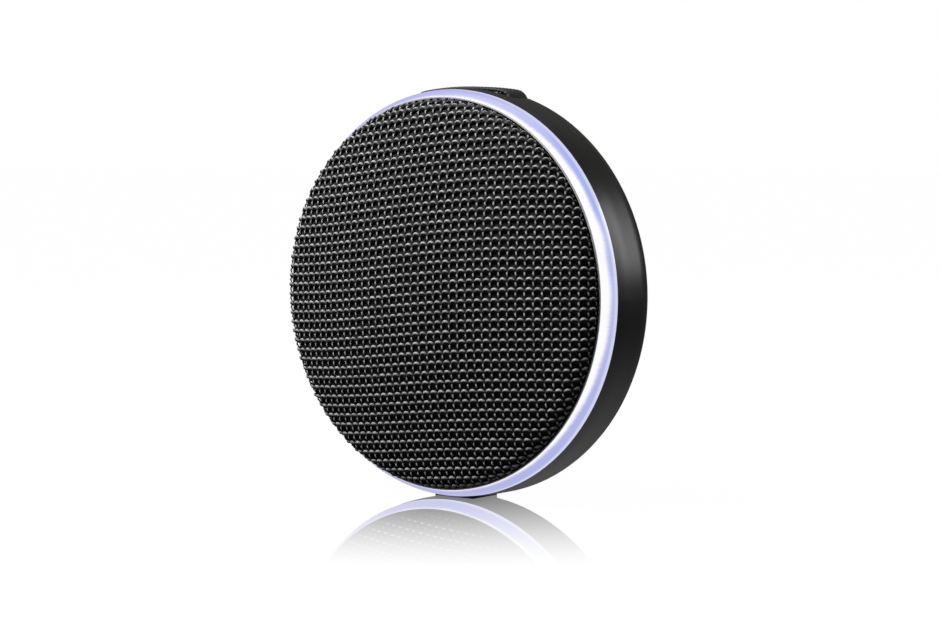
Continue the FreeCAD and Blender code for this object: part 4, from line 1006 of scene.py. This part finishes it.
class SPEAKER_OT_stage(bpy.types.Operator):
    """Set the floor, the lights and the camera"""
    bl_idname = "speaker.stage"
    bl_label = "Studio"

    def execute(self, context):
        studio = context.scene.speaker_studio
        self.set_camera(context.scene, studio)
        self.set_floor(studio)
        self.set_room(context.scene, studio)
        toward = Vector((sin(studio.azimuth), -cos(studio.azimuth), 0))
        right = Vector((cos(studio.azimuth), sin(studio.azimuth), 0))
        for name, (offset, size) in SOFTBOXES.items():
            place = CENTRE + toward * offset[0] + right * offset[1] + Vector((0, 0, offset[2]))
            self.softbox(f"{name}_softbox", place, size, getattr(studio, name))
        context.scene.view_settings.view_transform = "Standard"
        return {"FINISHED"}

    def set_camera(self, scene, studio):
        """Points the camera at the middle of the light ring."""
        lens = bpy.data.cameras.new("studio_camera")
        camera = bpy.data.objects.new("studio_camera", lens)
        scene.collection.objects.link(camera)
        flat = cos(studio.elevation)
        away = Vector((sin(studio.azimuth) * flat, -cos(studio.azimuth) * flat, sin(studio.elevation)))
        camera.location = CENTRE + away * studio.distance
        camera.rotation_euler = (-away).to_track_quat("-Z", "Y").to_euler()
        lens.lens = studio.lens
        lens.shift_x = studio.shift_x
        lens.shift_y = studio.shift_y
        lens.clip_start = 0.01
        scene.camera = camera

    def set_floor(self, studio):
        """A glowing white floor that mirrors the object near its foot and isn't seen in the object."""
        floor = primitive(bpy.ops.mesh.primitive_plane_add, size=40, location=(0, 0, 0))
        floor.name = "studio_floor"
        finish = Finish("studio_floor_gloss", Base_Color=studio.floor, Roughness=0.9, Specular_IOR_Level=0.0,
                        Emission_Color=(1.0, 1.0, 1.0), Emission_Strength=studio.floor_glow)
        x, y, _ = finish.axes()
        away = (x * x + y * y) ** 0.5
        strongest, fade_start, fade_end = 0.88, -0.03, 0.155
        mirror = finish.node("ShaderNodeBsdfGlossy", sockets={"Color": (0.99, 0.99, 0.99), "Roughness": 0.0})
        share = away.step(fade_start, fade_end, strongest, 0.0)
        blend = finish.node("ShaderNodeMixShader", sockets={
            0: share, 1: Wire(finish, finish.shader.outputs[0]), 2: mirror})
        finish.join(finish.tree.nodes["Material Output"].inputs["Surface"], blend)
        floor.visible_diffuse = False
        floor.visible_glossy = False
        paint(floor, finish)

    def set_room(self, scene, studio):
        """A bright backdrop for the camera, and a room for reflections that is lighter low down behind."""
        room = Finish("studio_room", shader="Background", room=True, Color=(1.0, 1.0, 1.0))
        scene.world = room.material
        _, y, z = room.split(room.node("ShaderNodeTexCoord", output="Generated"))
        above = z.step(0.16, 0.34, studio.horizon, studio.ambience)
        behind = y.step(0.1, 0.8) * z.step(-0.75, -0.15, 1.0, 0.0)
        strength = above + behind * studio.bounce
        for ray, level in (("Is Diffuse Ray", studio.fill), ("Is Singular Ray", studio.backdrop),
                           ("Is Camera Ray", studio.backdrop)):
            chosen = room.node("ShaderNodeLightPath", output=ray)
            strength = strength + chosen * (level - strength)
        room.feed("Strength", strength)

    def softbox(self, name, place, size, power):
        """A rectangular light that faces the middle of the light ring."""
        light = bpy.data.lights.new(name, "AREA")
        light.shape = "RECTANGLE"
        light.size, light.size_y = size
        light.energy = power
        lamp = bpy.data.objects.new(name, light)
        bpy.context.scene.collection.objects.link(lamp)
        lamp.location = place
        lamp.rotation_euler = (CENTRE - place).to_track_quat("-Z", "Y").to_euler()


class SPEAKER_PT_panel(bpy.types.Panel):
    """Pieces of the speaker"""
    bl_idname = "SPEAKER_PT_panel"
    bl_label = "Smart speaker"
    bl_space_type = "VIEW_3D"
    bl_region_type = "UI"
    bl_category = "Speaker"

    def draw(self, context):
        for holder in SETTINGS:
            box = self.layout.box()
            group = getattr(context.scene, holder)
            for name in group.bl_rna.properties.keys():
                if name not in ("rna_type", "name"):
                    box.prop(group, name)
        for operator in OPERATORS:
            self.layout.operator(operator.bl_idname)


SETTINGS = {
    "speaker_cloth": ClothSettings,
    "speaker_ring": RingSettings,
    "speaker_body": BodySettings,
    "speaker_studio": StudioSettings,
}
OPERATORS = (
    SPEAKER_OT_stage, SPEAKER_OT_housing, SPEAKER_OT_light_ring, SPEAKER_OT_works, SPEAKER_OT_cloth,
    SPEAKER_OT_strap, SPEAKER_OT_foot, SPEAKER_OT_key_marks,
)


def register():
    for holder, group in SETTINGS.items():
        bpy.utils.register_class(group)
        setattr(bpy.types.Scene, holder, PointerProperty(type=group))
    for made in (*OPERATORS, SPEAKER_PT_panel):
        bpy.utils.register_class(made)


def unregister():
    for made in (SPEAKER_PT_panel, *reversed(OPERATORS)):
        bpy.utils.unregister_class(made)
    for holder, group in reversed(SETTINGS.items()):
        delattr(bpy.types.Scene, holder)
        bpy.utils.unregister_class(group)


def main():
    register()
    for operator in OPERATORS:
        family, name = operator.bl_idname.split(".")
        getattr(getattr(bpy.ops, family), name)()


if __name__ == "__main__":
    main()
